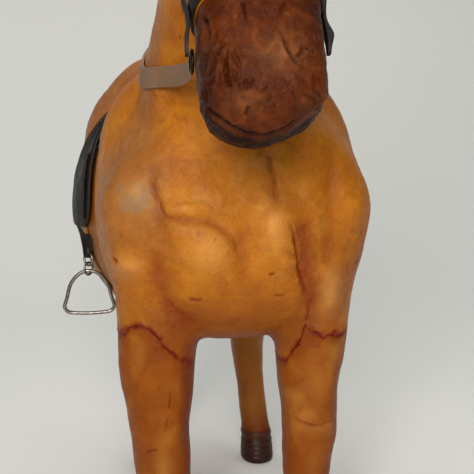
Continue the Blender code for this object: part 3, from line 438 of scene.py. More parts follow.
def head_point(station, angle, reach=1.0):
    """A point round the head: angle 0 is the pony's left side, 90 the front of the face."""
    along, out = head_axis()
    rows = between(HEAD, 6)
    half, deep, shift = (np.interp(station, rows[:, 0], rows[:, k]) for k in (1, 2, 3))
    turn = math.radians(angle)
    high, aside = math.sin(turn) * deep * reach, math.cos(turn) * half * reach
    return POLL + along * station + out * (shift + high) + X * aside


def mirrored(point, side):
    return np.array([side * point[0], point[1], point[2]])


# Muscles: centre, reach along x, y and z, height; and how strong the painted highlight on it is, where the
# two sides differ.
SIDE_SWELLS = (
    ((62, 26, 236), (12, 20, 22), 1.6),  # shoulder
    ((66, 58, 196), (14, 18, 24), 1.6),  # upper arm
    ((64, 178, 172), (16, 16, 20), 1.8),  # stifle
    ((66, 200, 232), (18, 22, 22), 1.6),  # rump
    ((50, 216, 158), (16, 14, 20), 1.4),  # gaskin
    ((34, 236, 84), (9, 8, 10), 1.6),  # point of the hock
    ((40, 14, 84), (10, 8, 10), 1.3),  # knee
    ((40, 43, 30), (9, 6, 7), 1.4),  # back of the fetlock
    ((38, 223, 32), (8, 6, 7), 1.2),
    ((33, 24, 250), (12, 14, 16), 1.2),
    ((58, 160, 272), (16, 60, 16), -4),  # croup
)
SWELLS = (
    ((-14, 0, 196), (13.5, 22, 14.5), 7, 0.4),  # the breast's right half
    ((-24, -1, 217), (12, 12, 5.5), 2.2, 0.15),
    ((19, -2, 206), (8, 16, 16), 4.2, 0.4),  # and its left half
    ((50, 8, 168), (8, 16, 17), 3.2, 0.45),
    ((-53, 14, 186), (9, 14, 6), 2, 0.4),
    ((25, -78, 259), (10, 16, 9), -6, 0),  # the chin is lopsided
    ((14, -72, 252), (10, 18, 8), -4, 0),
    ((-40, 26, 312), (14, 30, 30), -2.2, 0),  # the neck's right side
    ((-50, 32, 64), (8, 14, 26), 3.2, 0),  # the forelegs differ
    ((-60, 34, 120), (8, 18, 34), 4.4, 0),
    ((-24, 30, 108), (6, 16, 26), -2.6, 0),
    ((6, -84, 291), (13, 12, 9), 0.3, 0.5),  # painted highlights on the muzzle
    ((-8, -86, 272), (9, 10, 5), 0.2, 0.35),
    ((61, 34, 110), (9, 20, 24), -3.4, 0),
    ((29, -72, 282), (6, 20, 14), -1.8, 0),
    ((-26, -62, 286), (5, 12, 9), 0.9, 0),
    ((-48, 7, 222), (12, 16, 9), 1.6, 0.5),
    ((62, 18, 205), (9, 22, 24), 1.8, 0.1),
    ((5, 2, 225), (24, 20, 26), 1.2, 0),
    ((0, 20, 158), (26, 26, 14), 1.4, 0),
    ((-60, 18, 205), (7, 16, 26), 0.8, 0),
    ((45, 13, 60), (7, 8, 20), 0.8, 0.3),
    ((-37, 14, 66), (5, 8, 26), 0.8, 0.45),
    ((46, 14, 118), (10, 8, 16), 0.8, 0.2),
)

# Grooves: width, depth, height of the lips beside it, how much painted shade darkens it, then the line.
SIDE_GROOVES = (
    (5, 1, 0, 0, ((26, 4, 300), (34, 12, 284), (40, 14, 262))),  # along the throat
    (5, 0.9, 0, 0, ((46, 52, 276), (60, 36, 250), (66, 22, 226))),  # front of the shoulder blade
    (6, 1.2, 0, 0.12, ((58, 82, 262), (70, 74, 236), (73, 66, 206), (68, 62, 180))),
    (4, 1, 0, 0.1, ((68, 64, 178), (64, 58, 162), (58, 54, 150))),
    (7, 1.6, 0, 0.12, ((74, 162, 240), (76, 168, 208), (66, 172, 176), (50, 172, 152))),  # flank
    (5, 0.9, 0, 0, ((54, 196, 268), (68, 214, 240), (64, 226, 208), (54, 226, 178))),
    (4, 0.9, 0, 0.08, ((54, 200, 168), (46, 208, 140), (42, 218, 112))),
    (2.6, 0.8, 0, 0.1, ((47, 40, 72), (47, 41, 56), (47, 40, 40))),  # tendons
    (2.6, 0.8, 0, 0.1, ((32, 40, 72), (32, 41, 56), (32, 40, 40))),
    (2.4, 0.7, 0, 0.1, ((43, 224, 70), (43, 221, 52), (44, 217, 40))),
    (2.2, 0.6, 0.2, 0.2, ((30, 40, 26), (40, 44, 25), (50, 40, 26))),
)
GROOVES = (
    # the breast
    (2, 1.2, 0, 0.5, ((-38, 2, 211), (-34.7, 0.7, 212), (-27.4, -1.1, 210.6), (-14.9, 0.7, 208.2),
        (-5.7, 2.5, 202), (-1.1, 2.8, 196.7), (-0.4, 2.9, 188))),
    (1.6, 0.6, 0, 0.2, ((-32, 0, 217.5), (-26, 0, 219.2), (-16, 1, 218.6), (-10, 1, 215))),
    (6.5, 1.9, 0, 0.6, ((-40, 5, 197), (-39.1, 7.2, 184), (-37.5, 9.5, 173), (-32.9, 12, 163),
        (-27, 13, 157), (-21, 17, 149))),
    (4.5, 1.2, 0, 0.34, ((-42, 8, 240), (-39.5, 5, 222), (-37.8, 3.4, 214), (-38.6, 3, 205))),
    (1.3, 0.9, 0.3, 0.75, ((-41.5, 7, 232), (-39.5, 5, 223), (-37.6, 3.4, 217), (-36.1, 1.5, 211.5))),
    (4, 1.2, 0, 0.34, ((1, 3, 205), (3, 3, 190), (4, 4, 176))),
    (1, 0.8, 0.2, 0.6, ((15.9, 4.4, 246), (17.5, 3.2, 236.6), (19.3, 2.8, 228), (19.5, 2.2, 221.7),
        (21.6, 1.2, 217.5))),
    (3.6, 1.2, 0, 0.34, ((14, 5, 250), (16.5, 3, 236), (18.3, 2.8, 226), (20.4, 1.2, 214))),
    (1, 1.2, 0.2, 1, ((25.6, -1.8, 209), (28.7, -1.4, 201), (31, 1.3, 191), (32.6, 3, 184),
        (33.7, 5, 179.8), (36.5, 7.6, 171.3), (40, 11.2, 164))),
    (6.5, 1.9, 0, 0.66, ((32, 0, 214), (34, 2, 196), (37, 5, 182), (40, 9, 168), (40, 13, 156))),
    (1, 0.9, 0.2, 0.8, ((40.5, 11, 164), (39.6, 13.8, 157), (38.6, 15.4, 151))),
    (4.5, 1.2, 0, 0.34, ((50, 14, 252), (48.4, 6, 226), (47.6, 4.2, 210), (47, 5.6, 194), (46.4, 8, 184))),
    (1, 0.7, 0.2, 0.9, ((-23.4, 7.7, 168.4), (-20, 7, 167.6), (-17, 7, 168.2))),
    (0.9, 0.6, 0.2, 0.8, ((20.5, 6.1, 169.8), (23, 6.2, 169), (25.8, 6.4, 169.6))),
    (1.1, 0.9, 0.2, 0.9, ((16.8, 3.2, 181.8), (18, 3.2, 180.9), (19.8, 3.3, 181.4))),
    (0.9, 0.8, 0.4, 0.6, ((-34, 11, 166.4), (-32.4, 12, 163.6), (-30.8, 12, 162.4))),
    (1.2, 1, 0.2, 1, ((-61.2, 22, 188.6), (-59.6, 20, 187.3), (-57.8, 19, 187.4))),
    (0.9, 0.7, 0.2, 0.9, ((-45.4, 14, 152.2), (-42, 13, 150.6))),
    # the forelegs
    (0.6, 0.5, 0.2, 0.6, ((-32.6, 14.7, 117), (-33, 14.4, 112), (-33.6, 14.4, 108))),
    (0.5, 0.4, 0.2, 0.5, ((-34.6, 14.2, 104), (-35.4, 14.2, 99), (-36, 14.2, 95.5))),
    (0.8, 0.6, 0.2, 0.8, ((-45.2, 18.4, 83.4), (-43, 17, 85.4), (-39.8, 16.2, 85.9))),
    (0.7, 0.7, 0.2, 0.6, ((33, 20, 98.5), (36.5, 16.6, 97), (42.6, 14.5, 95.2), (49, 14.6, 95.6),
        (55, 18, 97.6))),
    # the muzzle
    (1.1, 2, 0.9, 0.9, ((-18, -79.5, 295), (-20, -81, 289), (-21.5, -82, 284), (-22.3, -82.2, 279.5),
        (-22.8, -81, 276.5))),
    (0.9, 1.4, 0.6, 0.8, ((-16.9, -82.6, 291), (-16.5, -85, 285), (-15.8, -86.2, 280), (-14.8, -87, 277))),
    (0.8, 0.8, 0.5, 0.5, ((-13.8, -83.2, 292.5), (-12, -85.3, 288), (-11, -87, 284))),
    (0.8, 0.6, 0.4, 0.4, ((-13.4, -84, 286), (-12.6, -86.4, 281), (-12.4, -87.4, 277))),
    (0.8, 0.8, 0.6, 0.4, ((-25.6, -70.7, 289.8), (-22.4, -77, 290), (-19.6, -79, 292))),
    (1.5, 1.8, 0.6, 1, ((-24.8, -63.2, 305.5), (-23.2, -69.2, 303), (-22.8, -73, 298),
        (-23.3, -74.2, 293.8))),
    (0.8, 0.9, 0.3, 0.8, ((-8, -74, 312), (-7.7, -76.2, 308), (-7, -78.4, 303.5))),
    (0.8, 0.6, 0.2, 0.5, ((10.2, -74, 311.6), (8.6, -75.6, 309.4), (7.4, -77, 307))),
    (0.8, 1.1, 0.5, 0.8, ((7.3, -82, 297.4), (8.7, -84.6, 292), (10.6, -85.8, 288.8),
        (12.3, -86.4, 286.4))),
    (0.9, 1, 0.5, 0.7, ((15.6, -83, 293.6), (13.6, -84.8, 290.4), (10.9, -86, 288.6))),
    (0.9, 1.2, 0.6, 0.8, ((21.4, -76, 299.5), (22.6, -77, 296), (22.4, -78, 292))),
    (0.8, 0.8, 0.4, 0.8, ((-9, -88, 281), (-8.6, -88.4, 278.4), (-7.9, -88.5, 276))),
    (0.8, 0.8, 0.4, 0.8, ((-5.2, -88.5, 280.6), (-6.4, -88.5, 278.6), (-7.2, -88.6, 276.6))),
    (0.8, 0.7, 0.4, 0.7, ((-2.8, -88.9, 275.2), (-1.2, -89, 276.2), (0.3, -89, 277.6))),
    (0.8, 0.7, 0.4, 0.8, ((-7.4, -87.6, 270), (-8.1, -86.6, 267.6), (-8.6, -85.8, 265.6))),
    (0.7, 0.6, 0.3, 0.6, ((2.6, -88, 271), (3.4, -87.6, 268.4))),
    (0.7, 0.6, 0.3, 0.6, ((-3.4, -88, 271.4), (-2.4, -87.6, 269.2))),
    (0.7, 0.5, 0.3, 0.5, ((9.6, -87, 276), (11.4, -87, 273.6))),
    (0.9, 0.9, 0.6, 0.6, ((14.4, -87.5, 274.4), (17.6, -86.6, 273.4), (20.4, -85, 271.4),
        (21.8, -83.7, 269))),
    (0.8, 0.7, 0.4, 0.5, ((18.6, -85.4, 276.6), (20.8, -84.4, 275), (22.6, -82.6, 272.6))),
    (1.9, 1.9, 0.4, 1, ((-26.4, -60, 272.6), (-25.3, -70.3, 270), (-20.9, -78.4, 265.6),
        (-13.3, -80.1, 260.6), (-7.1, -79.6, 258.2), (-2.3, -78.8, 257.2), (3, -79, 257.8),
        (8.5, -81, 259.6), (14.6, -82, 262.6), (21.5, -81, 267), (26, -72, 271), (26.6, -60, 273.4))),
)
# Pits: centre, radius, depth, how much painted shade darkens it.
PITS = (
    ((-23.9, -80.6, 277.6), 1.3, 1.5, 0.9), ((-24.6, -77.2, 274.2), 1.9, 2, 1),
    ((16.8, -83, 292.4), 1, 0.9, 0.9), ((19.4, -82.6, 291.4), 0.7, 0.6, 0.7),
    ((65.8, 12.9, 200), 1, 0.7, 0.9), ((64.4, 16.4, 184), 1.1, 0.8, 0.9),
    ((-28.3, 1.9, 298.4), 1.1, 1.1, 1), ((-10.3, -87.9, 273.1), 0.9, 0.7, 0.7),
    ((0.8, -88.6, 272.3), 0.8, 0.6, 0.7), ((-40.5, 14.6, 140.2), 0.8, 0.6, 0.8),
    ((-43, 13.5, 166), 0.9, 0.5, 0.6), ((-46, 17, 130), 0.8, 0.5, 0.7), ((36, 13.6, 126), 0.7, 0.5, 0.7),
    ((-31, 15, 152), 1, 0.6, 0.7), ((45.4, 14.2, 139), 1, 0.5, 0.7),
)


def head_grooves():
    """Lines on both sides of the head, by station and angle: the jaw, the cheek and below the eye."""
    lines = (
        (3.2, 1.3, 0.2, 0.15, ((20, -48), (34, -52), (48, -60), (60, -66))),
        (3, 1.2, 0, 0.1, ((30, 26), (42, 22), (56, 18), (68, 16))),
        (2.6, 0.9, 0, 0.1, ((16, 46), (28, 50), (42, 54))),
    )
    return [
        (*shape, [head_point(s, a if side > 0 else 180 - a) for s, a in keys])
        for side in (1, -1) for *shape, keys in lines
    ]


def flat_distance(off, normals):
    """How far offsets reach along the surface, and how far they rise from it."""
    rise = dot(off, normals)
    return np.sqrt(np.maximum(dot(off, off) - rise**2, 0)), np.abs(rise)


def distance_marks(form, normals, keys, width):
    """Points near a line, measured along the surface, with their distance and a fade at the line's ends."""
    line = between(keys, 5)
    reach = 3.2 * width + 4
    points = form.points
    picked = np.nonzero(np.all((points > line.min(0) - reach) & (points < line.max(0) + reach), axis=1))[0]
    best, where = np.full(len(picked), 1e9), np.zeros(len(picked))
    p, n = points[picked], normals[picked]
    for i, (a, b) in enumerate(zip(line[:-1], line[1:])):
        run = b - a
        t = np.clip((p - a) @ run / (run @ run), 0, 1)
        far, high = flat_distance(p - a - t[:, None] * run, n)
        far = far + np.maximum(high - 4.5, 0) * 3
        closer = far < best
        best[closer], where[closer] = far[closer], (i + t[closer]) / (len(line) - 1)
    return picked, best, np.clip(np.minimum(where, 1 - where) * 7 + 0.12, 0, 1)


def cut_grooves(form):
    normals = normals_of(form.points, form.tris)
    rise = np.zeros(len(form.points))
    wobble = 1 + 0.35 * noise3(form.points, 2.6, 5)
    lines = [*GROOVES, *head_grooves()]
    for *shape, keys in SIDE_GROOVES:
        lines += [(*shape, [mirrored(k, side) for k in keys]) for side in (1, -1)]
    for width, depth, lip, dark, keys in lines:
        picked, far, fade = distance_marks(form, normals, keys, width)
        ratio = far / (width * wobble[picked])
        rise[picked] += -depth * (bell(ratio, 1) * fade) + lip * bell(ratio, 0.8, 2) * fade
        # Painted shade in each groove.
        form.mark(STAIN_AND_SHADE, bell(ratio, 0.85) * fade * dark, picked)
    for centre, radius, depth, dark in PITS:
        far, high = flat_distance(form.points - np.array(centre), normals)
        near = bell(far / radius + np.maximum(high - 4, 0), 1)
        rise -= depth * near
        # Painted shade in each pit.
        form.mark(STAIN_AND_SHADE, near * dark)
    form.raise_by(normals, rise)


def raise_swells(form):
    normals = normals_of(form.points, form.tris)
    rise = np.zeros(len(form.points))
    sides = [(mirrored(at, side), reach, high, 0) for at, reach, high in SIDE_SWELLS for side in (1, -1)]
    for centre, reach, height, highlight in [*SWELLS, *sides]:
        near = np.exp(-np.sum(((form.points - np.array(centre)) / np.array(reach)) ** 2, 1))
        rise += near * height
        # Painted highlight over each swell's middle.
        form.mark(PALE_AND_HIGHLIGHT, highlight * near**1.5)
    form.raise_by(normals, rise)


def eye_centre(side):
    along, out = head_axis()
    return POLL + along * 24.0 + out * 12.0 + np.array([side * 27.0, 0, 0])


def open_eyes(form):
    """A socket for each eye, with a thick lid round it and a fold outside the lid."""
    along, out = head_axis()
    normals = normals_of(form.points, form.tris)
    rise = np.zeros(len(form.points))
    for side in (1, -1):
        off = form.points - eye_centre(side)
        same = (form.points[:, 0] * side > 5) & (np.linalg.norm(off, axis=1) < 26)
        far = np.sqrt((off @ along / 1.35) ** 2 + (off @ out * 1.1) ** 2)
        hole = -3.2 / (1 + np.exp(np.minimum((far - 4.2) / 0.45, 60)))
        rise += np.where(same, bell(far, 1.7, 5.6) * 1.9 + hole - 0.7 * bell(far, 1.2, 9.0), 0)
        form.mark(STAIN_AND_SHADE, np.where(same, np.clip(1.2 - far / 6.5, 0, 1), 0))
    form.raise_by(normals, rise)


def station_of(points):
    along, _ = head_axis()
    return (points - POLL) @ along


def leather_texture(form):
    """The hand-shaped unevenness of the leather, with finer crumples on the muzzle, painted shade in the
    hollows between those crumples, and painted shade on the lower lip below the mouth.
    """
    points = form.points
    x, y, z = points.T
    normals = normals_of(points, form.tris)
    muzzle = ramp(station_of(points), MUZZLE_STATION, 6) * (y < -20)
    chest = np.clip(1.3 - y / 30, 0, 1) * (1 - muzzle)
    broad = fbm(points, 21, 11)
    ridged = (1 - np.abs(fbm(points * (1, 1, 0.7), 6.5, 21))) ** 3
    rise = 0.5 * broad + 0.22 * fbm(points, 8, 12, 2)
    rise += muzzle * (0.12 * (ridged - 0.4) + 0.34 * fbm(points, 3, 22)) - muzzle * 0.25 * broad
    rise += chest * 0.1 * fbm(points, 3.4, 23, 2)
    form.raise_by(normals, rise)
    # Painted shade in the hollows between the muzzle's crumples.
    form.mark(STAIN_AND_SHADE, muzzle * np.clip(0.45 - ridged * 0.8, 0, 0.35))
    # Painted shade on the lower lip, below the mouth.
    form.mark(STAIN_AND_SHADE, 0.95 * ramp(z, np.interp(x, *LOWER_LIP), -2.5) * (y < -45) * (z > 245))


def stain_and_shade(form):
    """The colour changes over the body: the leather's own darker and paler places, and darker towards the
    hooves; painted shade, partly in a warmer brown, low on the body, on its left side, high on its right
    front, between the forelegs, towards the back and on the muzzle's right side; painted light on the hind
    legs; and painted grey sheen on the right shoulder and the lower barrel.
    """
    p = form.points
    x, y, z = p.T
    body, rear = y > -15, y > 150
    low = ramp(z, 150, -40) * body
    # Painted light on the hind legs, low down.
    form.mark(PALE_AND_HIGHLIGHT, 0.3 * low * rear)
    # Painted shade in a warmer brown, darker towards the bottom of the body and legs.
    form.mark(WARM_AND_SHADE, 0.45 * low + 0.25 * ramp(z, 172, -60) * body)
    form.mark(STAIN_AND_SHADE, ramp(z, 46, -26) ** 1.3 * np.where(rear, 0.95, 0.8))
    form.mark(STAIN_AND_SHADE, 0.34 * np.clip(fbm(p, 26, 31) * 0.9 - 0.15, 0, 1))
    # Painted shade on the lower chest and belly, on the pony's left side and high on its right front, with
    # painted grey sheen on that right front.
    shade_mask = ramp(z, 188, -34) * ramp(z, 110, 30) * np.clip((64 - np.abs(x)) / 22, 0.3, 1)
    left = ramp(x, 22, 12) * ramp(z, 214, -20) * (z > 110)
    shaded_sheen = ramp(x, -28, -14) * ramp(z, 186, 20) * ramp(y, 60, -30)
    form.mark(PAINTED_SHEEN, 0.22 * shaded_sheen * body)
    shade_mask = np.maximum(np.maximum(shade_mask, 0.7 * left) * (y < 150), 0.4 * shaded_sheen)
    # Painted shade on the lower part of the muzzle's right side.
    form.mark(STAIN_AND_SHADE, 0.65 * ramp(x, -15, -8) * (y < -50) * ramp(z, 300, -10))
    # Painted shade on the inner sides of the forelegs.
    form.mark(STAIN_AND_SHADE, 0.6 * ramp(np.abs(x), 29, -5) * ramp(z, 146, -8) * body * (y < 70))
    # That painted shade, and painted shade in a warmer brown on the back half of the body above the legs.
    form.mark(WARM_AND_SHADE, np.maximum(shade_mask, 0.6 * ramp(y, 80, 50) * (z > 150)) * body)
    form.mark(STAIN_AND_SHADE, 0.75 * np.clip(noise3(p, 2.4, 33) * 3.2 - 2.35, 0, 1))
    form.mark(PALE_AND_HIGHLIGHT, 0.35 * np.clip(fbm(p, 17, 34) - 0.35, 0, 1))
    # A painted reflection: a grey highlight on the right shoulder.
    reflection_patch = np.exp(-(((x + 49) / 10.5) ** 4) - ((z - 221) / 8.5) ** 4) * (y < 40)
    form.mark(PAINTED_SHEEN, reflection_patch * np.clip(0.75 + 0.5 * noise3(p, 5, 35), 0, 1))
    # Painted grey sheen on the lower barrel.
    form.mark(PAINTED_SHEEN, 0.4 * ramp(z, 200, -60) * ramp(y, 60, 30) * ramp(y, 190, -40))


# ---------------------------------------------------------------- seams and pieces of the body

FRONT_SEAM = (  # signed x and z of the torn seam above the forelegs, seen from the front
    (-62, 146), (-57.2, 146.4), (-53.1, 151), (-49.6, 153), (-45.5, 152.6), (-42.6, 150.4), (-38.1, 145.6),
    (-33, 139.4), (-26.6, 134.2), (-21.5, 131.5), (-10, 128.5), (4.5, 127.5), (20, 128), (29.8, 129.5),
    (32.4, 135.9), (36.1, 141.5), (37.8, 149.5), (38.9, 151.8), (39.8, 148.2), (44.7, 146.7), (47.4, 143.9),
    (51.9, 144.6), (58.1, 143.5), (64, 145),
)

# The same seams from the side: how far back the forelegs' leather goes, and where the hind legs' begins.
FORELEG_BACK, HIND_FRONT, HIND_SEAM = 61.0, 176.0, 131.0


def leg_field(p):
    """Above 0 inside a leg's own leather."""
    ragged = 0.9 * noise3(p, 3, 41) + 0.5 * noise3(p, 1.3, 42)
    front = np.minimum(np.interp(p[:, 0], *np.array(FRONT_SEAM).T) + ragged - p[:, 2], FORELEG_BACK - p[:, 1])
    hind = np.minimum(HIND_SEAM + 1.5 * noise3(p, 9, 43) + ragged - p[:, 2], p[:, 1] - HIND_FRONT)
    return np.maximum(front, hind)


def line_field(p, line):
    """Distance to the left of a line in the (y, z) plane."""
    a, b = np.array(line)
    run = unit(b - a)
    return (p[:, 1] - a[0]) * -run[1] + (p[:, 2] - a[1]) * run[0]


def neck_field(p):
    return line_field(p, NECK_SEAM) + 0.5 * noise3(p, 6.0, 44)


def head_field(p):
    return line_field(p, THROAT_SEAM) + 0.4 * noise3(p, 6.0, 45)


def muzzle_field(p):
    return np.minimum(station_of(p) - MUZZLE_STATION + 0.5 * noise3(p, 5.0, 46), -p[:, 1] - 15.0)


def mark_seams(form):
    """The upper leather's edge stands proud of the lower one's, and both edges are stained."""
    p = form.points
    normals = normals_of(p, form.tris)
    f = leg_field(p)
    front = (p[:, 1] < 70) & (np.abs(p[:, 1] - FORELEG_BACK) > 1.0)
    close = np.abs(f) < 12
    torn = np.clip(0.75 + 0.9 * noise3(p, 4.5, 47), 0.15, 1.5)
    fleck = noise3(p, 1.7, 48)
    above, below = np.where(f < 0, bell(f, 2.4), 0) * close, np.where(f >= 0, bell(f, 1.5), 0) * close
    mark = bell(f, np.where(front, 1.5, 0.9)) * np.clip(torn + 0.5 + 0.9 * fleck, 0.35, 1)
    mark += bell(f, 3.6) * np.clip(torn * 0.6 + 2.0 * fleck - 0.75, 0, 0.9)
    inside = np.where(front, ramp(np.abs(p[:, 0]), 26, 6), 1)
    rise = inside * (above * 0.6 * torn - below * 0.55 + mark * close * 0.35 * fleck)
    form.mark(STAIN_AND_SHADE, np.clip(mark, 0, 1) * close)
    form.mark(WARM_AND_SHADE, bell(f, 5) * close)
    for field in (neck_field(p), head_field(p)):
        rise -= 0.35 * bell(field, 0.8)
        form.mark(STAIN_AND_SHADE, 0.35 * bell(field, 0.9))
    form.raise_by(normals, rise)


def make_form():
    form = Form(*united(body_lofts(), VOXEL))
    form.smooth(4, 0.5)
    for centre, radius, height in BULGES:
        for side in (1, -1):
            normals = normals_of(form.points, form.tris)
            far = np.linalg.norm(form.points - mirrored(centre, side), axis=1)
            form.raise_by(normals, bell(far, 0.6 * radius) * height)
    share = np.zeros(len(form.points))
    for centre, radius in BLENDS:
        for side in (1, -1):
            far = np.linalg.norm(form.points - mirrored(centre, side), axis=1) / radius
            share = np.maximum(share, np.clip(1.6 - 1.6 * far, 0, 1))
    edges, _ = edges_of(form.tris)
    for _ in range(int(160 / VOXEL**2)):
        form.points = form.points + (neighbour_mean(form.points, edges) - form.points) * 0.5 * share[:, None]

    # Narrow grooves get small triangles.
    lines = np.vstack([between(keys, 5) for width, *_, keys in GROOVES if width < 2])
    tree = KDTree(len(lines))
    for i, at in enumerate(lines):
        tree.insert(at, i)
    tree.balance()

    def finest(c):
        coarse = 1.0
        muzzle = (station_of(c) > MUZZLE_STATION - 3) & (c[:, 1] < -15)
        front = (c[:, 1] < 34) & (c[:, 2] < 262) & (c[:, 2] > 30)
        face = (c[:, 1] < 5) & (c[:, 2] > 285)
        seam = (np.abs(leg_field(c)) < 4) & (c[:, 1] < 70)
        size = np.select([muzzle | seam, front | face], [FINE, MEDIUM], COARSE)
        cut = np.array([f and tree.find(at)[2] < 1.9 for at, f in zip(c, front | muzzle)])
        return np.where(cut, FINE, size) * coarse

    form.refine(finest, 3)
    form.smooth(2, 0.4)
    raise_swells(form)
    open_eyes(form)
    cut_grooves(form)
    leather_texture(form)
    mark_seams(form)
    stain_and_shade(form)
    return form


# ---------------------------------------------------------------- making pieces

def finish_piece(obj, body, material, slot, *nodes):
    obj.data.materials.clear()
    obj.data.materials.append(material)
    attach(obj, body)
    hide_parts(*nodes)
    return obj


def two_marks(first, second):
    return np.stack([first, second, *np.zeros((2, len(first)))], 1)


def built(name, points, faces, dye_and_light=None, sharp=None, outward=True):
    """An object from points in millimetres, shaded smooth up to `sharp` degrees, with its colour marks."""
    mesh = mesh_from(name, metres(points), faces)
    if outward:
        face_outward(mesh)
    mesh.shade_smooth()
    if sharp is not None:
        mesh.set_sharp_from_angle(angle=math.radians(sharp))
    layer = mesh.color_attributes.new("dye_and_light", "FLOAT_COLOR", "POINT")
    dye_and_light = np.zeros((len(points), 4)) if dye_and_light is None else dye_and_light
    layer.data.foreach_set("color", np.asarray(dye_and_light, np.float32).ravel())
    return add_object(name, mesh)


def shell_object(name, form, tris, thickness=SKIN):
    """A closed leather cover: the surface, its inside, and the cut edges between them."""
    used, flat = np.unique(tris, return_inverse=True)
    tris = flat.reshape(-1, 3)
    points, dye_and_light = form.points[used], form.dye_and_light[used]
    normals = normals_of(points, tris)
    edges, _ = edges_of(tris)
    for _ in range(3):
        normals = unit(neighbour_mean(normals, edges) + normals)
    count = len(points)
    directed = sides_of(tris)
    keys = directed[:, 0] * count + directed[:, 1]
    back = directed[:, 1] * count + directed[:, 0]
    rim = directed[~np.isin(keys, back)]
    sides = np.vstack([
        np.stack([rim[:, 1], rim[:, 0], rim[:, 0] + count], 1),
        np.stack([rim[:, 1], rim[:, 0] + count, rim[:, 1] + count], 1),
    ])
    faces = np.vstack([tris, tris[:, ::-1] + count, sides])
    points = np.vstack([points, points - normals * thickness])
    return built(name, points, faces, np.vstack([dye_and_light, dye_and_light]), 65, outward=False)


def lofted(name, rings, dye_and_light=None, sharp=50):
    return built(name, np.vstack(rings), ring_faces(len(rings), len(rings[0])), dye_and_light, sharp)


def ahead_along(line, closed):
    ahead = np.roll(line, -1, 0) - np.roll(line, 1, 0)
    if not closed:
        ahead[0], ahead[-1] = line[1] - line[0], line[-1] - line[-2]
    return unit(ahead)


def frames_along(line, outward, closed=False):
    """Unit vectors out and across at each point of a line."""
    ahead = ahead_along(line, closed)
    outward = unit(outward - ahead * dot(outward, ahead)[:, None])
    return outward, np.cross(ahead, outward)


# Half of a strap's section: place across, height, how much of the raw edge shows.
HALF_SECTION = (
    (-0.96, 0, 1), (-1, 0.14, 1), (-1, 0.72, 1), (-0.955, 0.93, 0.4), (-0.88, 1, 0), (-0.8, 0.97, 0),
    (-0.74, 0.86, 0), (-0.67, 0.98, 0), (-0.4, 1.06, 0),
)
STRAP_SECTION = (
    *HALF_SECTION, (0, 1.08, 0), *[(-a, h, edge) for a, h, edge in HALF_SECTION[::-1]],
    (0.5, 0, 0.6), (-0.5, 0, 0.6),
)


def strap(name, line, outward, width, thick, closed=False, taper=1.0, swell=1.0):
    """A leather strap whose underside runs along a line, with a pressed line inside each rounded edge."""
    line = np.array(line, float)
    n = len(line)
    out, across = frames_along(line, np.array(outward, float), closed)
    width = width / 2 * (np.ones(n) * taper)
    thick = thick * (np.ones(n) * swell)
    points = np.array([
        [p + side * w * a + o * h * t for a, h, _ in STRAP_SECTION]
        for p, o, side, w, t in zip(line, out, across, width, thick)
    ]).reshape(-1, 3)
    wear = np.clip(fbm(points, 9, 61) * 0.9 - 0.1, 0, 1)
    dye_and_light = two_marks(wear, np.tile([edge for _, _, edge in STRAP_SECTION], n))
    return built(name, points, ring_faces(n, len(STRAP_SECTION), closed), dye_and_light, 55)


def smoothed(rows, rounds=2, closed=False):
    rows = np.array(rows, float)
    for _ in range(rounds):
        moved = (rows * 2 + np.roll(rows, -1, 0) + np.roll(rows, 1, 0)) / 4
        if not closed:
            moved[0], moved[-1] = rows[0], rows[-1]
        rows = moved
    return rows


class Skin:
    """The body's finished surface, for laying straps and sheets on."""

    def __init__(self, form):
        self.tree = BVHTree.FromPolygons(form.points.tolist(), form.tris.tolist())
        edges, _ = edges_of(form.tris)
        normals = normals_of(form.points, form.tris)
        for _ in range(6):
            normals = unit(neighbour_mean(normals, edges) + normals)
        self.tris, self.normals = form.tris, normals

    def nearest(self, point):
        found, _, face, _ = self.tree.find_nearest(Vector(point))
        return np.array(found), unit(self.normals[self.tris[face]].mean(0))

    def height(self, point, out, reach=14.0):
        hit, _, _, far = self.tree.ray_cast(Vector(point + out * reach), Vector(-out), 2 * reach)
        return -reach if hit is None else reach - far

    def laid(self, guide, width, lift, closed=False):
        """The line of a strap's underside that clears the body across the strap's whole width."""
        found = [self.nearest(p) for p in guide]
        middle = np.array([f[0] for f in found])
        out = unit(smoothed([f[1] for f in found], 4, closed))
        out, across = frames_along(middle, out, closed)
        rise = np.array([
            max(self.height(p + side * width * k, o) for k in (-0.5, -0.25, 0.0, 0.25, 0.5))
            for p, o, side in zip(middle, out, across)
        ])
        ahead, behind = np.roll(rise, -1), np.roll(rise, 1)
        if not closed:
            ahead[-1], behind[0] = rise[-1], rise[0]
        rise = smoothed(np.clip(np.maximum(rise, np.maximum(ahead, behind)), -1, 4), 3, closed)
        middle = middle + out * (rise + lift)[:, None]
        return smoothed(middle, 2, closed), out

    def round_barrel(self, y, angle):
        """The surface round the barrel at y, and the way out: 90 degrees is the spine, 0 the left side."""
        rows = between(TORSO, 6)
        turn = math.radians(angle)
        out = np.array([math.cos(turn), 0, math.sin(turn)])
        start = np.array([0, y, np.interp(y, rows[:, 0], rows[:, 3])]) + out * 160.0
        hit, _, face, _ = self.tree.ray_cast(Vector(start), Vector(-out))
        return np.array(hit), unit(self.normals[self.tris[face]].mean(0) + out)


def wire(line, radius, sides=10, closed=False):
    """Points and faces of a round wire along a line. radius is one number or one for each point."""
    line = np.array(line, float)
    ahead = ahead_along(line, closed)
    normal = np.cross(ahead[0], Z if abs(ahead[0][2]) < 0.9 else X)
    points = []
    for p, run, r in zip(line, ahead, np.ones(len(line)) * radius):
        normal = unit(normal - run * (normal @ run))
        other = np.cross(run, normal)
        for turn in 2 * math.pi * np.arange(sides) / sides:
            points.append(p + (normal * math.cos(turn) + other * math.sin(turn)) * r)
    return points, ring_faces(len(line), sides, closed)


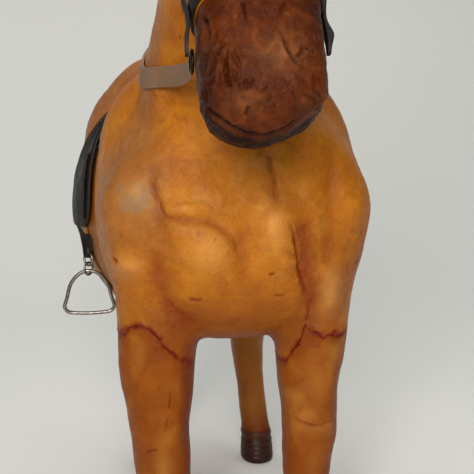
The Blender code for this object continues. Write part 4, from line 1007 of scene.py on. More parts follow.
def gathered(name, parts):
    """Many small closed bodies, given as (points, faces), in one object."""
    points, faces = [], []
    for more, sides in parts:
        faces += [tuple(i + len(points) for i in face) for face in sides]
        points += list(more)
    return built(name, points, faces)


def sampled(run, rows, s):
    """The row at distance s, from rows at the distances in run."""
    return np.array([np.interp(s, run, rows[:, k]) for k in range(3)])


def stitches(name, rows, length, gap, thick):
    """Thread along rows of (line, outward): short stitches that dip into the leather at both ends."""
    parts = []
    for line, outward in rows:
        line, outward = np.array(line), np.array(outward)
        run = np.concatenate([[0], np.cumsum(np.linalg.norm(np.diff(line, axis=0), axis=1))])
        for start in np.arange(gap, run[-1] - length, length + gap):
            stitch = []
            for t, high in ((0, -0.25), (0.15, 0.12), (0.5, 0.26), (0.85, 0.12), (1, -0.25)):
                s = start + t * length
                stitch.append(sampled(run, line, s) + unit(sampled(run, outward, s)) * high)
            parts.append(wire(stitch, [thick * 0.5, thick, thick, thick, thick * 0.5], 6))
    return gathered(name, parts)


# ---------------------------------------------------------------- the body's pieces

def body_pieces(form, mats):
    upper, _ = form.part_of(form.tris, lambda p: p[:, 2] - HOOF_HEIGHT - 0.2)
    leg, rest = form.part_of(upper, leg_field)
    neck_up, torso = form.part_of(rest, neck_field)
    front, neck = form.part_of(neck_up, head_field)
    muzzle, head = form.part_of(front, muzzle_field)
    for word, tris in (("torso", torso), ("neck", neck), ("head", head)):
        obj = shell_object(word + "_leather", form, tris)
        finish_piece(obj, "horse", mats["tan"], "tan_leather", word + "_hide", word + "_core")
    obj = shell_object("muzzle_leather", form, muzzle)
    finish_piece(obj, "horse", mats["muzzle"], "dark_leather", "muzzle_hide")
    middle = form.points[leg].mean(1)
    for low, word in ((True, "front"), (False, "hind")):
        for side, name in SIDES:
            mine = ((middle[:, 1] < 118) == low) & ((middle[:, 0] > LEG_SHIFT) == (side > 0))
            obj = shell_object(f"{word}_leg_leather_{name}", form, leg[mine])
            nodes = (f"{word}_leg_hide_{name}", f"{word}_leg_core_{name}")
            finish_piece(obj, "horse", mats["leg"], "tan_leather", *nodes)


def hoof_ring(side, z, table):
    """A hoof's section at z: a band at the top, faint growth rings and a rounded lower edge."""
    _, x, y, half, deep = (np.interp(z, table[:, 0], table[:, k]) for k in range(5))
    swell = 0.45 * bell(z, 1.3, 19.6) - 0.35 * bell(z, 1, 17.2)
    swell += 0.16 * math.sin(z * 1.9 + 0.4 * side) * (2 < z < 17) - 0.7 * max(0.0, 1 - z / 1.4) ** 2
    middle = np.array([side * x + LEG_SHIFT, y, z])
    points = oval(middle, X, Y, half + swell, deep + swell, deep + swell, 2.15, 56)
    rise = 0.22 * noise3(points, 5, 71)[:, None] * (z > 0.1)
    return points + unit(points - points.mean(0)) * rise * (1, 1, 0)


def hooves(mats):
    heights = (HOOF_HEIGHT + 0.1, 21.6, 20.6, 19.4, *np.linspace(18.4, 2.4, 22), 1.4, 0.6, 0.15, 0.0)
    for rows, word in ((FORELEG, "front"), (HIND_LEG, "hind")):
        table = between(rows, 6)[::-1]
        for side, name in SIDES:
            rings = [hoof_ring(side, z, table) for z in heights]
            points = np.vstack(rings)
            wear = np.clip(noise3(points, 4, 72) * 0.8 + (6 - points[:, 2]) / 14, 0, 1)
            obj = lofted(f"{word}_hoof_horn_{name}", rings, two_marks(wear, ramp(points[:, 2], 15, 8)))
            finish_piece(obj, "horse", mats["hoof"], "hoof", f"{word}_hoof_{name}")


def eyes(mats):
    """Glass eyes with a swelling cornea, a brown iris and a long pupil."""
    along, out = head_axis()
    for side, name in SIDES:
        centre = eye_centre(side)
        look = unit(np.array([side * 0.93, -0.34, 0.1]))
        aside = unit(np.cross(look, Z))
        rings = []
        for turn in np.linspace(0.04, math.pi - 0.04, 26):
            middle = centre + look * (math.cos(turn) * EYE_RADIUS + 0.55 * bell(turn, 0.42))
            half = math.sin(turn) * EYE_RADIUS
            rings.append(oval(middle, aside, np.cross(aside, look), half, half, half, 2, 36))
        off = np.vstack(rings) - centre
        iris = np.clip((0.72 - np.arccos(np.clip(unit(off) @ look, -1, 1))) * 9, 0, 1)
        pupil = np.clip((2.4 - np.hypot(off @ out, off @ along / 1.5)) * 3, 0, 1) * iris
        obj = lofted("eye_glass_" + name, rings, two_marks(iris, pupil), 80)
        finish_piece(obj, "horse", mats["eye"], "glass_eye", "eye_" + name)


def ear_ring(side, t):
    """An ear's section at t, from its root to its tip: a leaf with a hollow front."""
    s = -4.0 + 36.5 * t
    half = 8.2 * max(0.0, math.sin(math.pi * min(1.0, 0.30 + 0.72 * t))) ** 0.8 + 0.25
    half *= 1.0 if t < 0.9 else math.sqrt(max(0.0, (1.0 - t) / 0.1)) * 0.75 + 0.25
    deep = 5.0 * (1 - t) ** 0.7 + 0.8
    centre = np.array([side * (15.0 + 0.18 * s), -6.0 - 0.1 * s - 2.4 * t, 384.0 + s])
    cup = deep * 0.92 * min(1.0, t * 3.2)
    points = []
    for turn in np.linspace(0, 2 * math.pi, 40, endpoint=False):
        a, b = math.cos(turn), math.sin(turn)
        back = b * deep if b > 0 else b * deep + cup * (1 - a * a) ** 0.9
        points.append(centre + X * a * half + Y * (back + 0.9 * a * a))
    return np.array(points)


def ears(mats):
    for side, name in SIDES:
        rings = [ear_ring(side, t) for t in np.linspace(0, 1, 30)]
        points = np.vstack(rings)
        x, y, z = points.T
        root = np.clip((392 - z) / 10, 0, 0.6) + np.clip(fbm(points, 6, 81), 0, 0.4)
        inner = np.clip(1.2 - np.abs(x - side * 20) / 5, 0, 1) * (y < -9)
        dark = np.clip(np.maximum(root, inner * 0.8), 0, 1)
        obj = lofted("ear_leather_" + name, rings, two_marks(dark, 0 * dark), 60)
        finish_piece(obj, "horse", mats["tan"], "tan_leather", "ear_" + name)


# ---------------------------------------------------------------- bridle and reins

# The cheek straps, by station and angle, and how far they stand off the head.
CHEEK = (
    (15.5, -11, 0), (26, -15, 0), (36, -16, 0), (46, -14, 0), (56, -10, 0), (63, -7, 0.4), (69, -5, 1.6),
    (76, -3, 1.8), (83, -2, 2.2), (90, -1.5, 3), (97, -1.5, 2.8),
)
HALF_CROWN = ((4, 14, 400), (15, 13, 393), (25, 9, 382), (31, -1, 369), (34.5, -9.5, 360))


def bridle(skin, mats):
    def fitted(name, node, guide, width, lift, thick, closed=False):
        line, out = skin.laid(guide, width, lift, closed)
        band = strap(name, line, out, width, thick, closed)
        finish_piece(band, "horse", mats["black"], "black_leather", node)

    band = [head_point(76.0, a, 1.15) for a in range(0, 360, 5)]
    fitted("noseband_strap", "noseband", band, BRIDLE_WIDTH, 0.2, 1.4, closed=True)

    for side, name in SIDES:
        rows = between(CHEEK, 5)
        guide = [head_point(s, a if side > 0 else 180 - a, 1.15) for s, a, _ in rows]
        line, out = skin.laid(guide, CHEEK_WIDTH, 0.2)
        line = smoothed(line + out * np.clip(rows[:, 2], 0, 3)[:, None], 2)
        # The lower end is wider and thicker where it folds round the bit ring.
        place = np.linspace(0, 1, len(rows))
        taper = 1 + 0.1 * bell(place, 0.07, 0.84) - 0.5 * ramp(place, 0.93, 0.07) ** 2
        swell = 1 + (1.2 if side > 0 else 0.3) * bell(place, 0.06, 0.88)
        cheek = strap("cheek_leather_" + name, line, out, CHEEK_WIDTH, 1.4, taper=taper, swell=swell)
        finish_piece(cheek, "horse", mats["black"], "black_leather", "cheek_strap_" + name)

    crown = between([(s * x, y, z) for s in (1, -1) for x, y, z in HALF_CROWN[::-s]], 5)
    fitted("headpiece_strap", "headpiece", crown, BRIDLE_WIDTH, 0.4, 1.6)
    brow = [head_point(6.0, a, 1.15) for a in np.linspace(14, 166, 50)]
    fitted("browband_strap", "browband", brow, BROWBAND_WIDTH, 0.4, 1.6)


def bit_centre(side):
    return np.array([30.19 if side > 0 else -26.97, -52.0, 287.2])


# The left half of the reins: free beside the head, and then on the neck.
REIN_FREE = ((25.2, -35.5, 284.6), (24.4, -26, 283.3), (25.4, -16, 282), (27.8, -5, 280.8), (31, 5.5, 280))
REIN_HELD = (
    (36, 15, 279.8), (39.6, 20.5, 279.4), (42.6, 27, 279), (43.4, 33, 279.2), (42.5, 42, 281),
    (38, 51, 286.5), (29, 60, 293), (15, 67, 300), (0, 69, 303),
)


def reins(skin, mats):
    ends = []
    for side in (1, -1):
        x, y, z = bit_centre(side)
        free = [(x - side * 0.6, y + 6.8, z + 0.2)]
        ends.append(between(free + [(side * x, y, z) for x, y, z in REIN_FREE], 4))
    held = [(s * x, y, z) for s, rows in ((1, REIN_HELD), (-1, REIN_HELD[-2::-1])) for x, y, z in rows]
    line, out = skin.laid(between(held, 6), 10.5, 0.5)
    aside = np.tile([[1.0, -0.1, 0.15]], (len(ends[0]), 1))
    middle = smoothed(np.vstack([ends[0], line, ends[1][::-1]]), 4)
    outward = smoothed(np.vstack([aside, out, aside * (-1, 1, 1)]), 14)
    n = len(middle) - 1
    taper = [min(1.0, 0.5 + 0.04 * min(i, n - i)) for i in range(n + 1)]
    band = strap("reins_strap", middle, outward, REIN_WIDTH, 1.5, taper=taper)
    finish_piece(band, "horse", mats["rein"], "rein_leather", "reins")


def ring(name, centre, radius, thick, normal):
    """A wire ring whose axis is `normal`."""
    side = unit(np.cross(unit(normal), Z))
    turn = np.linspace(0, 2 * math.pi, 64, endpoint=False)
    line = np.array(centre) + radius * (np.outer(np.cos(turn), side) + np.outer(np.sin(turn), Z))
    return built(name, *wire(line, thick, 16, closed=True))


# ---------------------------------------------------------------- saddle and stirrups

def lengths(grid):
    """Distances along a grid of points, from its first row and from its first column."""
    across = np.cumsum(np.linalg.norm(np.diff(grid, axis=0, prepend=grid[:1]), axis=2), axis=0)
    down = np.cumsum(np.linalg.norm(np.diff(grid, axis=1, prepend=grid[:, :1]), axis=2), axis=1)
    return across, down


class Sheet:
    """A leather sheet round the barrel, on a grid over u and v.

    place(u, v) is its y and angle, lift(u, v) its height over the body, and thick(u, v, edge) its thickness,
    where edge is the distance to the nearest edge."""

    def __init__(self, skin, place, counts, lift, thick, rounding):
        nu, nv = counts
        us, vs = np.linspace(0, 1, nu), np.linspace(0, 1, nv)
        on, out = np.zeros((nu, nv, 3)), np.zeros((nu, nv, 3))
        for i, j in itertools.product(range(nu), range(nv)):
            on[i, j], out[i, j] = skin.round_barrel(*place(us[i], vs[j]))
        for _ in range(8):
            for rows in (on, out):
                inner = (rows[:-2, 1:-1] + rows[2:, 1:-1] + rows[1:-1, :-2] + rows[1:-1, 2:]) / 4
                rows[1:-1, 1:-1] = (rows[1:-1, 1:-1] + inner) / 2
        out = unit(out)
        across, down = lengths(on)
        gaps = (across, across[-1:] - across, down, down[:, -1:] - down)
        self.edge = np.min(gaps, axis=0)
        u, v = np.meshgrid(us, vs, indexing="ij")
        curve = np.sqrt(np.clip(1 - (1 - np.clip(self.edge / rounding, 0, 1)) ** 2, 0, 1))
        high = thick(u, v, self.edge) * (0.35 + 0.65 * curve)
        self.out, self.counts = out, counts
        self.low = on + out * lift(u, v)[:, :, None]
        self.high = self.low + out * high[:, :, None]

    def made(self, name):
        number = np.arange(self.edge.size).reshape(self.counts)
        corners = (number[:-1, :-1], number[:-1, 1:], number[1:, 1:], number[1:, :-1])
        quads = np.stack(corners, 2).reshape(-1, 4)
        rim = np.array([*number[0], *number[1:, -1], *number[-1, -2::-1], *number[-2:0:-1, 0]])
        sides = np.stack([np.roll(rim, -1), rim, rim + number.size, np.roll(rim, -1) + number.size], 1)
        faces = np.vstack([quads, (quads + number.size)[:, ::-1], sides]).tolist()
        points = np.vstack([self.low.reshape(-1, 3), self.high.reshape(-1, 3)])
        wear = np.clip(fbm(points, 9, 62) * 0.9 - 0.15, 0, 1)
        raw = np.tile(np.clip(1.3 - self.edge.ravel() / 0.9, 0, 1), 2)
        return built(name, points, faces, two_marks(wear, raw))

    def border_rows(self, inset, skip_top=False):
        """Lines on the sheet's top face, `inset` inside each of its edges."""
        across, down = lengths(self.high)

        def line(runs, places, rows_of, from_end):
            found = [(i, runs(i)[-1] - inset if from_end else inset) for i in places]
            grids = (self.high, self.out)
            return [[sampled(runs(i), rows_of(grid, i), s) for i, s in found] for grid in grids]

        def inside(far, first):
            return np.nonzero((far > first) & (far < far[-1] - inset))[0]

        lines = []
        for from_end in (True,) if skip_top else (True, False):
            places = inside(across.mean(1), inset)
            lines.append(line(lambda i: down[i], places, lambda grid, i: grid[i], from_end))
        for from_end in (True, False):
            places = inside(down.mean(0), 0 if skip_top else inset)
            lines.append(line(lambda i: across[:, i], places, lambda grid, i: grid[:, i], from_end))
        return lines


def sheet_noise(u, v, scale, seed):
    places = np.stack([u * 60, v * 90, 0 * u], -1).reshape(-1, 3)
    return noise3(places, scale, seed).reshape(u.shape)


def outline_share(u):
    """The saddle's width from above: narrow at the pommel, widest two thirds back."""
    return 0.5 + 0.5 * min(1.0, u / 0.55) ** 0.8 * (1 - 0.25 * max(0.0, (u - 0.75) / 0.25) ** 2)


def felt_pad(skin, mats):
    def place(u, v):
        return PAD_FRONT + PAD_LENGTH * u, 90 + 80 * (v - 0.5) * outline_share(u)

    def thick(u, v, edge):
        return PAD_THICK + 0.12 * sheet_noise(u, v, 4, 63)

    made = Sheet(skin, place, (46, 60), lambda u, v: PAD_LIFT + 0 * u, thick, 1.6).made("felt_pad")
    finish_piece(made, "horse", mats["felt"], "felt", "saddle_pad")


def flaps(skin, mats):
    def thick(u, v, edge):
        welt = 0.35 * bell(edge, 0.6, 0.9) - 0.3 * bell(edge, 0.35, 2.2)
        knee = 0.9 * np.exp(-(((u - 0.16) / 0.10) ** 2) - (((v - 0.42) / 0.24) ** 2))
        return 1.6 + welt + 0.25 * sheet_noise(u, v, 22, 64) + knee

    def lift(u, v):
        return OVER_PAD + (OVER_GIRTH - OVER_PAD) * ramp(v, 0.12, 0.2)

    for side, name in SIDES:
        def place(u, v, side=side):
            angle = 54.0 - v * 62.0 + 4.0 * v * (2 * u - 1) ** 4
            round_off = 7.0 * (max(0.0, v - 0.72) / 0.28) ** 2
            front = FLAP_FRONT + 13.0 * (1 - v) ** 3 + round_off
            back = FLAP_BACK - 4.0 * v - round_off
            return front + (back - front) * u, angle if side > 0 else 180 - angle

        flap = Sheet(skin, place, (64, 96), lift, thick, 0.8)
        made = flap.made("flap_leather_" + name)
        finish_piece(made, "flap_" + name, mats["black"], "black_leather", "saddle_flap_" + name)
        made = stitches("flap_stitches_" + name, flap.border_rows(3.2, skip_top=True), 1.9, 0.8, 0.28)
        finish_piece(made, "flap_" + name, mats["thread"], "black_leather")


def seat(skin, mats):
    def place(u, v):
        return SEAT_FRONT + SEAT_LENGTH * u, 90 + 68 * (v - 0.5) * outline_share(u)

    def thick(u, v, edge):
        crown = np.clip(np.sin(math.pi * v), 0, 1) ** 2
        ends = 5.0 * bell(u, 0.16, 0.08) + 8.0 * bell(u, 0.16, 0.93)
        roll = 0.5 * bell(edge, 0.9, 1.3) - 0.45 * bell(edge, 0.5, 3.2)
        seams = bell((u - 0.30) * SEAT_LENGTH, 0.55) + bell((u - 0.74) * SEAT_LENGTH, 0.55)
        return 1.3 + crown * (5.0 + ends) + roll - 0.5 * seams * ramp(edge, 3, 2)

    cover = Sheet(skin, place, (84, 96), lambda u, v: OVER_PAD + 1.9 + 0 * u, thick, 1.4)
    made = cover.made("seat_cover")
    finish_piece(made, "horse", mats["seat"], "seat_leather", "saddle_seat")
    made = stitches("seat_stitches", cover.border_rows(4.4), 1.7, 0.8, 0.26)
    finish_piece(made, "horse", mats["thread"], "seat_leather")


def girth(skin, mats):
    guide = [skin.round_barrel(GIRTH_Y, a)[0] for a in np.linspace(28, -208, 120)]
    line, out = skin.laid(guide, GIRTH_WIDTH, 0.4)
    made = strap("girth_band", line, out, GIRTH_WIDTH, GIRTH_THICK)
    finish_piece(made, "horse", mats["girth"], "rein_leather", "girth_strap")


def stirrup_strap(skin, side, twist):
    """The underside, the way out and the width of a strap down the flap, turned below it and round a ring."""
    line = []
    for high in (236.0, 231.0, 226.0, 221.0, 216.0, 211.0, 206.0, 201.0, 197.5):
        turn = math.atan2(high - 202.0, side * 73.0)
        on, out = skin.round_barrel(HANGING_Y, math.degrees(turn))
        out = unit(out + np.array([math.cos(turn), 0, math.sin(turn)]))
        line.append(((on[0] + out[0] * 4.9) * side - HANGING_X, on[2] + out[2] * 4.9))
    line += [(5.0, 194.0), (3.9, 190.5), (2.7, 187.0), (FOLD_RADIUS + 0.5, 183.5), (FOLD_RADIUS + 0.2, 180.0)]
    for turn in np.radians(np.linspace(0, 180, 13)):
        line.append((FOLD_RADIUS * math.cos(turn), FOLD_HEIGHT - FOLD_RADIUS * math.sin(turn)))
    line = between([*line, (0.4 - FOLD_RADIUS, 180.0), (-0.1, 184.0), (0.7, 187.0)], 3)
    away, high = line.T
    ahead = unit(np.gradient(line, axis=0))
    turn = np.radians(twist) * np.maximum.accumulate(ramp(high, 196, -11))
    out = np.stack([side * np.cos(turn), -np.sin(turn), 0 * turn], 1)
    points = np.array([side * HANGING_X, HANGING_Y, 0.0]) + out * away[:, None] + Z * high[:, None]
    width = 1 + (FOLDED_WIDTH / STRAP_WIDTH - 1) * ramp(high, 184, -6)
    return points, out * -ahead[:, 1:] + Z * ahead[:, :1], width


def stirrup_outline(top):
    """The stirrup's wire as (aside, height), round from the middle of its top: an arch and a tread."""
    half, corner, bottom, shoulder = STIRRUP_WIDTH / 2 - STIRRUP_WIRE, 4.6, top - STIRRUP_HEIGHT + 2.3, 8.0
    outline = []
    for angle in np.radians(np.linspace(90, 180, 22)[:-1]):
        rise = bottom + shoulder + (top - bottom - shoulder) * math.sin(angle)
        outline.append((half * 0.86 * math.cos(angle), rise))
    for angle in np.radians(np.linspace(180, 270, 10)):
        outline.append((corner - half + corner * math.cos(angle), bottom + corner + corner * math.sin(angle)))
    outline += [(corner - half + 4, bottom - 0.2), (-5, bottom - 0.5), (0, bottom - 0.6)]
    return outline + [(-a, b) for a, b in reversed(outline[1:-1])]


# How far the strap's fold, the second ring and the stirrup are turned about the vertical, on each side.
TWISTS = {1: (0.0, 85.0, 10.0), -1: (40.0, -40.0, 90.0)}


def hanging(skin, mats):
    """The stirrup straps with their rings and stirrups, and the bit rings."""
    upper = FOLD_HEIGHT + 0.2 - STRAP_RING
    lower = upper - STRAP_RING + 2 * RING_WIRE + 0.3 - LINK_RING
    top = lower - LINK_RING + RING_WIRE + STIRRUP_WIRE + 0.4
    for side, name in SIDES:
        x, twists = side * HANGING_X, np.radians(TWISTS[side])
        points, out, width = stirrup_strap(skin, side, TWISTS[side][0])
        band = strap("stirrup_leather_" + name, points, out, STRAP_WIDTH, 1.2, taper=width)
        finish_piece(band, "strap_" + name, mats["black"], "black_leather", "stirrup_strap_" + name)
        rings = (("strap", upper, STRAP_RING, twists[0]), ("link", lower, LINK_RING, twists[1]))
        for word, height, radius, turn in rings:
            normal = (side * math.cos(turn), -math.sin(turn), 0.0)
            made = ring(f"{word}_ring_wire_{name}", (x, HANGING_Y, height), radius, RING_WIRE, normal)
            finish_piece(made, f"{word}_ring_{name}", mats["steel"], "steel", f"{word}_ring_{name}")

        sideways, ahead = side * math.sin(twists[2]), math.cos(twists[2])
        line = [(x + a * sideways, HANGING_Y + a * ahead, b) for a, b in stirrup_outline(top)]
        made = built("stirrup_wire_" + name, *wire(smoothed(line, 2, closed=True), 1.1, 16, closed=True))
        finish_piece(made, "stirrup_" + name, mats["steel"], "steel", "stirrup_" + name)

        made = ring("bit_ring_wire_" + name, bit_centre(side), *BIT_RING, (side, 0, 0))
        finish_piece(made, "bit_ring_" + name, mats["blued"], "steel", "bit_ring_" + name)


# ---------------------------------------------------------------- hair

def lock(path, width, random):
    """One flattened lock of hair along a path, thickest near its root and drawn out to a point."""
    path = smoothed(path, 2)
    ahead = unit(np.gradient(path, axis=0))
    turn = random.uniform(0, math.pi)
    side = unit(np.cross(ahead, np.array([math.cos(turn), math.sin(turn), 0.3])))
    sides, depth = 6, 0.55
    points = []
    for t, p, a, b in zip(np.linspace(0, 1, len(path)), path, side, np.cross(ahead, side)):
        w = width * (0.75 + 0.5 * math.sin(min(1.0, t * 2.2) * math.pi / 2)) * max(0.04, 1 - t**2.6)
        for q in 2 * math.pi * np.arange(sides) / sides:
            points.append(p + a * w * math.cos(q) + b * w * depth * math.sin(q))
    return points, ring_faces(len(path), sides)


# The mane: y, z, half width, height. The tail: y, z, half width, half depth.
MANE = (
    (16, 392, 3.5, 7), (27, 374, 5, 10), (38, 354, 5.5, 11), (48, 334, 5.5, 11), (58, 316, 4.5, 9),
    (64, 308, 3, 6),
)
TAIL = (
    (228, 276, 6, 6), (240, 277, 8, 8), (249, 266, 9, 9), (254, 246, 11, 10), (256, 215, 13, 11),
    (256, 180, 13, 11), (254, 148, 10, 9), (252, 122, 4, 4),
)


def mane(random):
    rows = between(MANE, 8)
    out, drop = np.array([0, 0.8, 0.6]), np.array([0, 0.5, -0.85])
    parts = []
    for _ in range(420):
        t = random.uniform(0, 1)
        y, z, half, deep = (np.interp(t, np.linspace(0, 1, len(rows)), column) for column in rows.T)
        side, length = random.uniform(-1, 1), random.uniform(0.8, 1.15)
        root = np.array([side * half * 0.55, y, z]) - out * deep * 0.35
        steps = (
            (0, 0, 0),
            (0.45, 0.15, 0),
            (0.85 * length, 0.4, 1.2),
            (0.98 * length, 0.62, 4.0),
            (0.86 * length, 0.8, 6.5 + random.uniform(0, 3)),
        )
        path = [root + out * deep * high + X * side * half * wide + drop * low for high, wide, low in steps]
        parts.append(lock(between(path, 3), random.uniform(0.7, 1.15), random))
    return parts


def forelock(random, skin):
    parts = []
    for _ in range(130):
        side, start = random.uniform(-1, 1), random.uniform(-2, 6)
        reach = random.uniform(24, 36) - start
        path = []
        for t in np.linspace(0, 1, 9):
            s = start + reach * t
            half = np.interp(s, (0, 10, 24, 36), (3.0, 7.0, 6.5, 2.0))
            on, out = skin.nearest((side * half * 0.9, -14.0 - 0.62 * s, 396.0 - 0.6 * s))
            lift = 1.6 * math.sin(math.pi * min(1.0, t + 0.1)) * (0.5 + 0.5 * random.uniform())
            path.append(on + out * (0.4 + lift))
        parts.append(lock(path, random.uniform(0.7, 1.2), random))
    return parts


def tail(random):
    rows = between(TAIL, 5)
    n = len(rows)
    ahead = unit(np.gradient(rows[:, :2], axis=0))
    parts = []
    for number in range(300):
        turn, share = random.uniform(0, 2 * math.pi), math.sqrt(random.uniform(0.05, 1.0))
        start, end = random.randint(0, 8), n - random.randint(0, 11)
        drift, twist = random.uniform(-0.5, 0.5), random.uniform(-0.4, 0.4)
        path = []
        for i in range(start, end):
            y, z, half, deep = rows[i]
            t = i / (n - 1)
            up = np.array([0, -ahead[i][1], ahead[i][0]])
            spread = share * (0.88 + 0.08 * math.sin(9 * t + number))
            angle = turn + twist * t + drift * math.sin(5 * t + number)
            aside, high = math.cos(angle) * half * spread, math.sin(angle) * deep * spread
            path.append(np.array([0, y, z]) + X * aside + up * high)
        parts.append(lock(path, random.uniform(0.8, 1.5), random))
    return parts


def hair(skin, mats):
    random = np.random.RandomState(7)
    for name, node, parts in (
        ("mane_hair", "mane", mane(random)),
        ("forelock_hair", "forelock", forelock(random, skin)),
        ("tail_hair", "tail", tail(random)),
    ):
        finish_piece(gathered(name, parts), "horse", mats["hair"], "hair", node)


# ---------------------------------------------------------------- finishes

class Surface:
    """A material built from nodes. Colours are given as sRGB from 0 to 255."""

    def __init__(self, name):
        self.material = bpy.data.materials.new(name)
        self.material.use_nodes = True
        self.tree = self.material.node_tree
        self.shader = self.tree.nodes["Principled BSDF"]
        self.place = self.add("ShaderNodeTexCoord").outputs["Object"]

    def add(self, kind, **options):
        node = self.tree.nodes.new(kind)
        for key, value in options.items():
            setattr(node, key, value)
        return node

    def put(self, socket, value):
        """Links another node's socket to this one, or sets its value."""
        if isinstance(value, bpy.types.NodeSocket):
            self.tree.links.new(value, socket)
        else:
            socket.default_value = value

    def noise(self, scale, detail=4.0, roughness=0.55, stretch=None, distortion=0.0):
        place = self.place
        if stretch is not None:
            node = self.add("ShaderNodeMapping")
            self.put(node.inputs["Vector"], place)
            node.inputs["Scale"].default_value = stretch
            place = node.outputs["Vector"]
        node = self.add("ShaderNodeTexNoise")
        self.put(node.inputs["Vector"], place)
        values = {"Scale": scale, "Detail": detail, "Roughness": roughness, "Distortion": distortion}
        for key, value in values.items():
            node.inputs[key].default_value = value
        return node.outputs[0]

    def cells(self, scale):
        node = self.add("ShaderNodeTexVoronoi", feature="DISTANCE_TO_EDGE")
        self.put(node.inputs["Vector"], self.place)
        node.inputs["Scale"].default_value = scale
        return node.outputs["Distance"]

    def level(self, value, low, high, to_low=0.0, to_high=1.0):
        node = self.add("ShaderNodeMapRange", clamp=True)
        self.put(node.inputs["Value"], value)
        for key, number in zip(("From Min", "From Max", "To Min", "To Max"), (low, high, to_low, to_high)):
            node.inputs[key].default_value = number
        return node.outputs["Result"]

    def math(self, operation, a, b=0.0):
        node = self.add("ShaderNodeMath", operation=operation)
        self.put(node.inputs[0], a)
        self.put(node.inputs[1], b)
        return node.outputs[0]

    def mix(self, share, a, b):
        node = self.add("ShaderNodeMix", data_type="RGBA")
        self.put(node.inputs[0], share)
        self.put(node.inputs[6], self.colour(a))
        self.put(node.inputs[7], self.colour(b))
        return node.outputs[2]

    def colour(self, value):
        if isinstance(value, bpy.types.NodeSocket):
            return value
        return (*[((v / 255 + 0.055) / 1.055) ** 2.4 if v > 10 else v / 255 / 12.92 for v in value], 1.0)

    def marks(self):
        """The four marks painted on the points."""
        node = self.add("ShaderNodeAttribute", attribute_name="dye_and_light")
        parts = self.add("ShaderNodeSeparateColor")
        self.put(parts.inputs[0], node.outputs["Color"])
        return parts.outputs[0], parts.outputs[1], parts.outputs[2], node.outputs["Alpha"]

    def bump(self, *layers):
        """layers are (height, depth in millimetres, strength)."""
        normal = None
        for height, depth, strength in layers:
            node = self.add("ShaderNodeBump")
            self.put(node.inputs["Height"], height)
            node.inputs["Distance"].default_value = depth / 1000
            node.inputs["Strength"].default_value = strength
            if normal is not None:
                self.put(node.inputs["Normal"], normal)
            normal = node.outputs["Normal"]
        self.put(self.shader.inputs["Normal"], normal)

    def finish(self, colour, roughness, metallic=0.0, coat=0.0, coat_roughness=0.3, specular=0.5):
        self.put(self.shader.inputs["Base Color"], self.colour(colour))
        self.put(self.shader.inputs["Roughness"], roughness)
        self.shader.inputs["Metallic"].default_value = metallic
        self.shader.inputs["Specular IOR Level"].default_value = specular
        self.shader.inputs["Coat Weight"].default_value = coat
        self.shader.inputs["Coat Roughness"].default_value = coat_roughness
        return self.material


def hide_leather(name, light, deep, stain_and_shade, warm_and_shade, rubbed_and_highlight, sheen_colour, rough, grain, specular):
    s = Surface(name)
    dark_mark, warm_and_shade_mark, pale_and_highlight_mark, sheen_mark = s.marks()
    broad, mottle, pores = s.noise(42.0, 4, 0.6), s.noise(210.0, 6, 0.66), s.noise(1150.0, 3, 0.6)
    colour = s.mix(s.level(broad, 0.32, 0.68), light, deep)
    smudge = s.noise(95.0, 6, 0.7, distortion=0.6)
    colour = s.mix(s.level(mottle, 0.46, 0.78, 0, 0.6), colour, deep)
    colour = s.mix(s.level(smudge, 0.50, 0.70, 0, 0.55), colour, warm_and_shade)
    colour = s.mix(s.math("MULTIPLY", s.level(mottle, 0.30, 0.42, 1, 0), 0.16), colour, rubbed_and_highlight)
    # Painted shade in the warm colour, and the leather's warmer places.
    colour = s.mix(s.math("MULTIPLY", warm_and_shade_mark, s.level(broad, 0.25, 0.6, 0.6, 1.0)), colour, warm_and_shade)
    # The leather's paler places, and painted highlights.
    colour = s.mix(pale_and_highlight_mark, colour, rubbed_and_highlight)
    # Painted sheen.
    colour = s.mix(s.math("MULTIPLY", sheen_mark, 0.85), colour, sheen_colour)
    # Stains, and painted shade in creases, pits and shaded places.
    colour = s.mix(s.math("MULTIPLY", dark_mark, s.level(mottle, 0.3, 0.6, 0.8, 1.0)), colour, stain_and_shade)
    colour = s.mix(s.level(pores, 0.56, 0.72, 0, 0.3), colour, stain_and_shade)
    roughness = s.level(mottle, 0.35, 0.7, rough - 0.07, rough + 0.12)
    pale_and_sheen_mark = s.math("MAXIMUM", pale_and_highlight_mark, sheen_mark)
    roughness = s.math("SUBTRACT", roughness, s.math("MULTIPLY", pale_and_sheen_mark, 0.10))
    cells = s.cells(430.0)
    s.bump((smudge, 1.6, 0.5), (mottle, 1.2, 0.6), (cells, 0.4 * grain, 0.55), (pores, 0.34 * grain, 0.6))
    return s.finish(colour, roughness, specular=specular)


def strap_leather(name, colour, worn, edge, rough, coat):
    s = Surface(name)
    wear_mark, edge_mark, _, _ = s.marks()
    mottle, pores = s.noise(260.0, 5, 0.62), s.noise(1500.0, 3, 0.6)
    made = s.mix(s.level(mottle, 0.4, 0.75, 0, 0.5), colour, worn)
    made = s.mix(s.math("MULTIPLY", wear_mark, 0.5), made, worn)
    made = s.mix(s.math("MULTIPLY", edge_mark, s.level(mottle, 0.35, 0.6, 0.7, 1.0)), made, edge)
    s.bump((mottle, 0.35, 0.5), (s.cells(900.0), 0.14, 0.5), (pores, 0.12, 0.5))
    roughness = s.level(mottle, 0.35, 0.7, rough - 0.06, rough + 0.12)
    return s.finish(made, roughness, coat=coat, coat_roughness=0.32, specular=0.16)


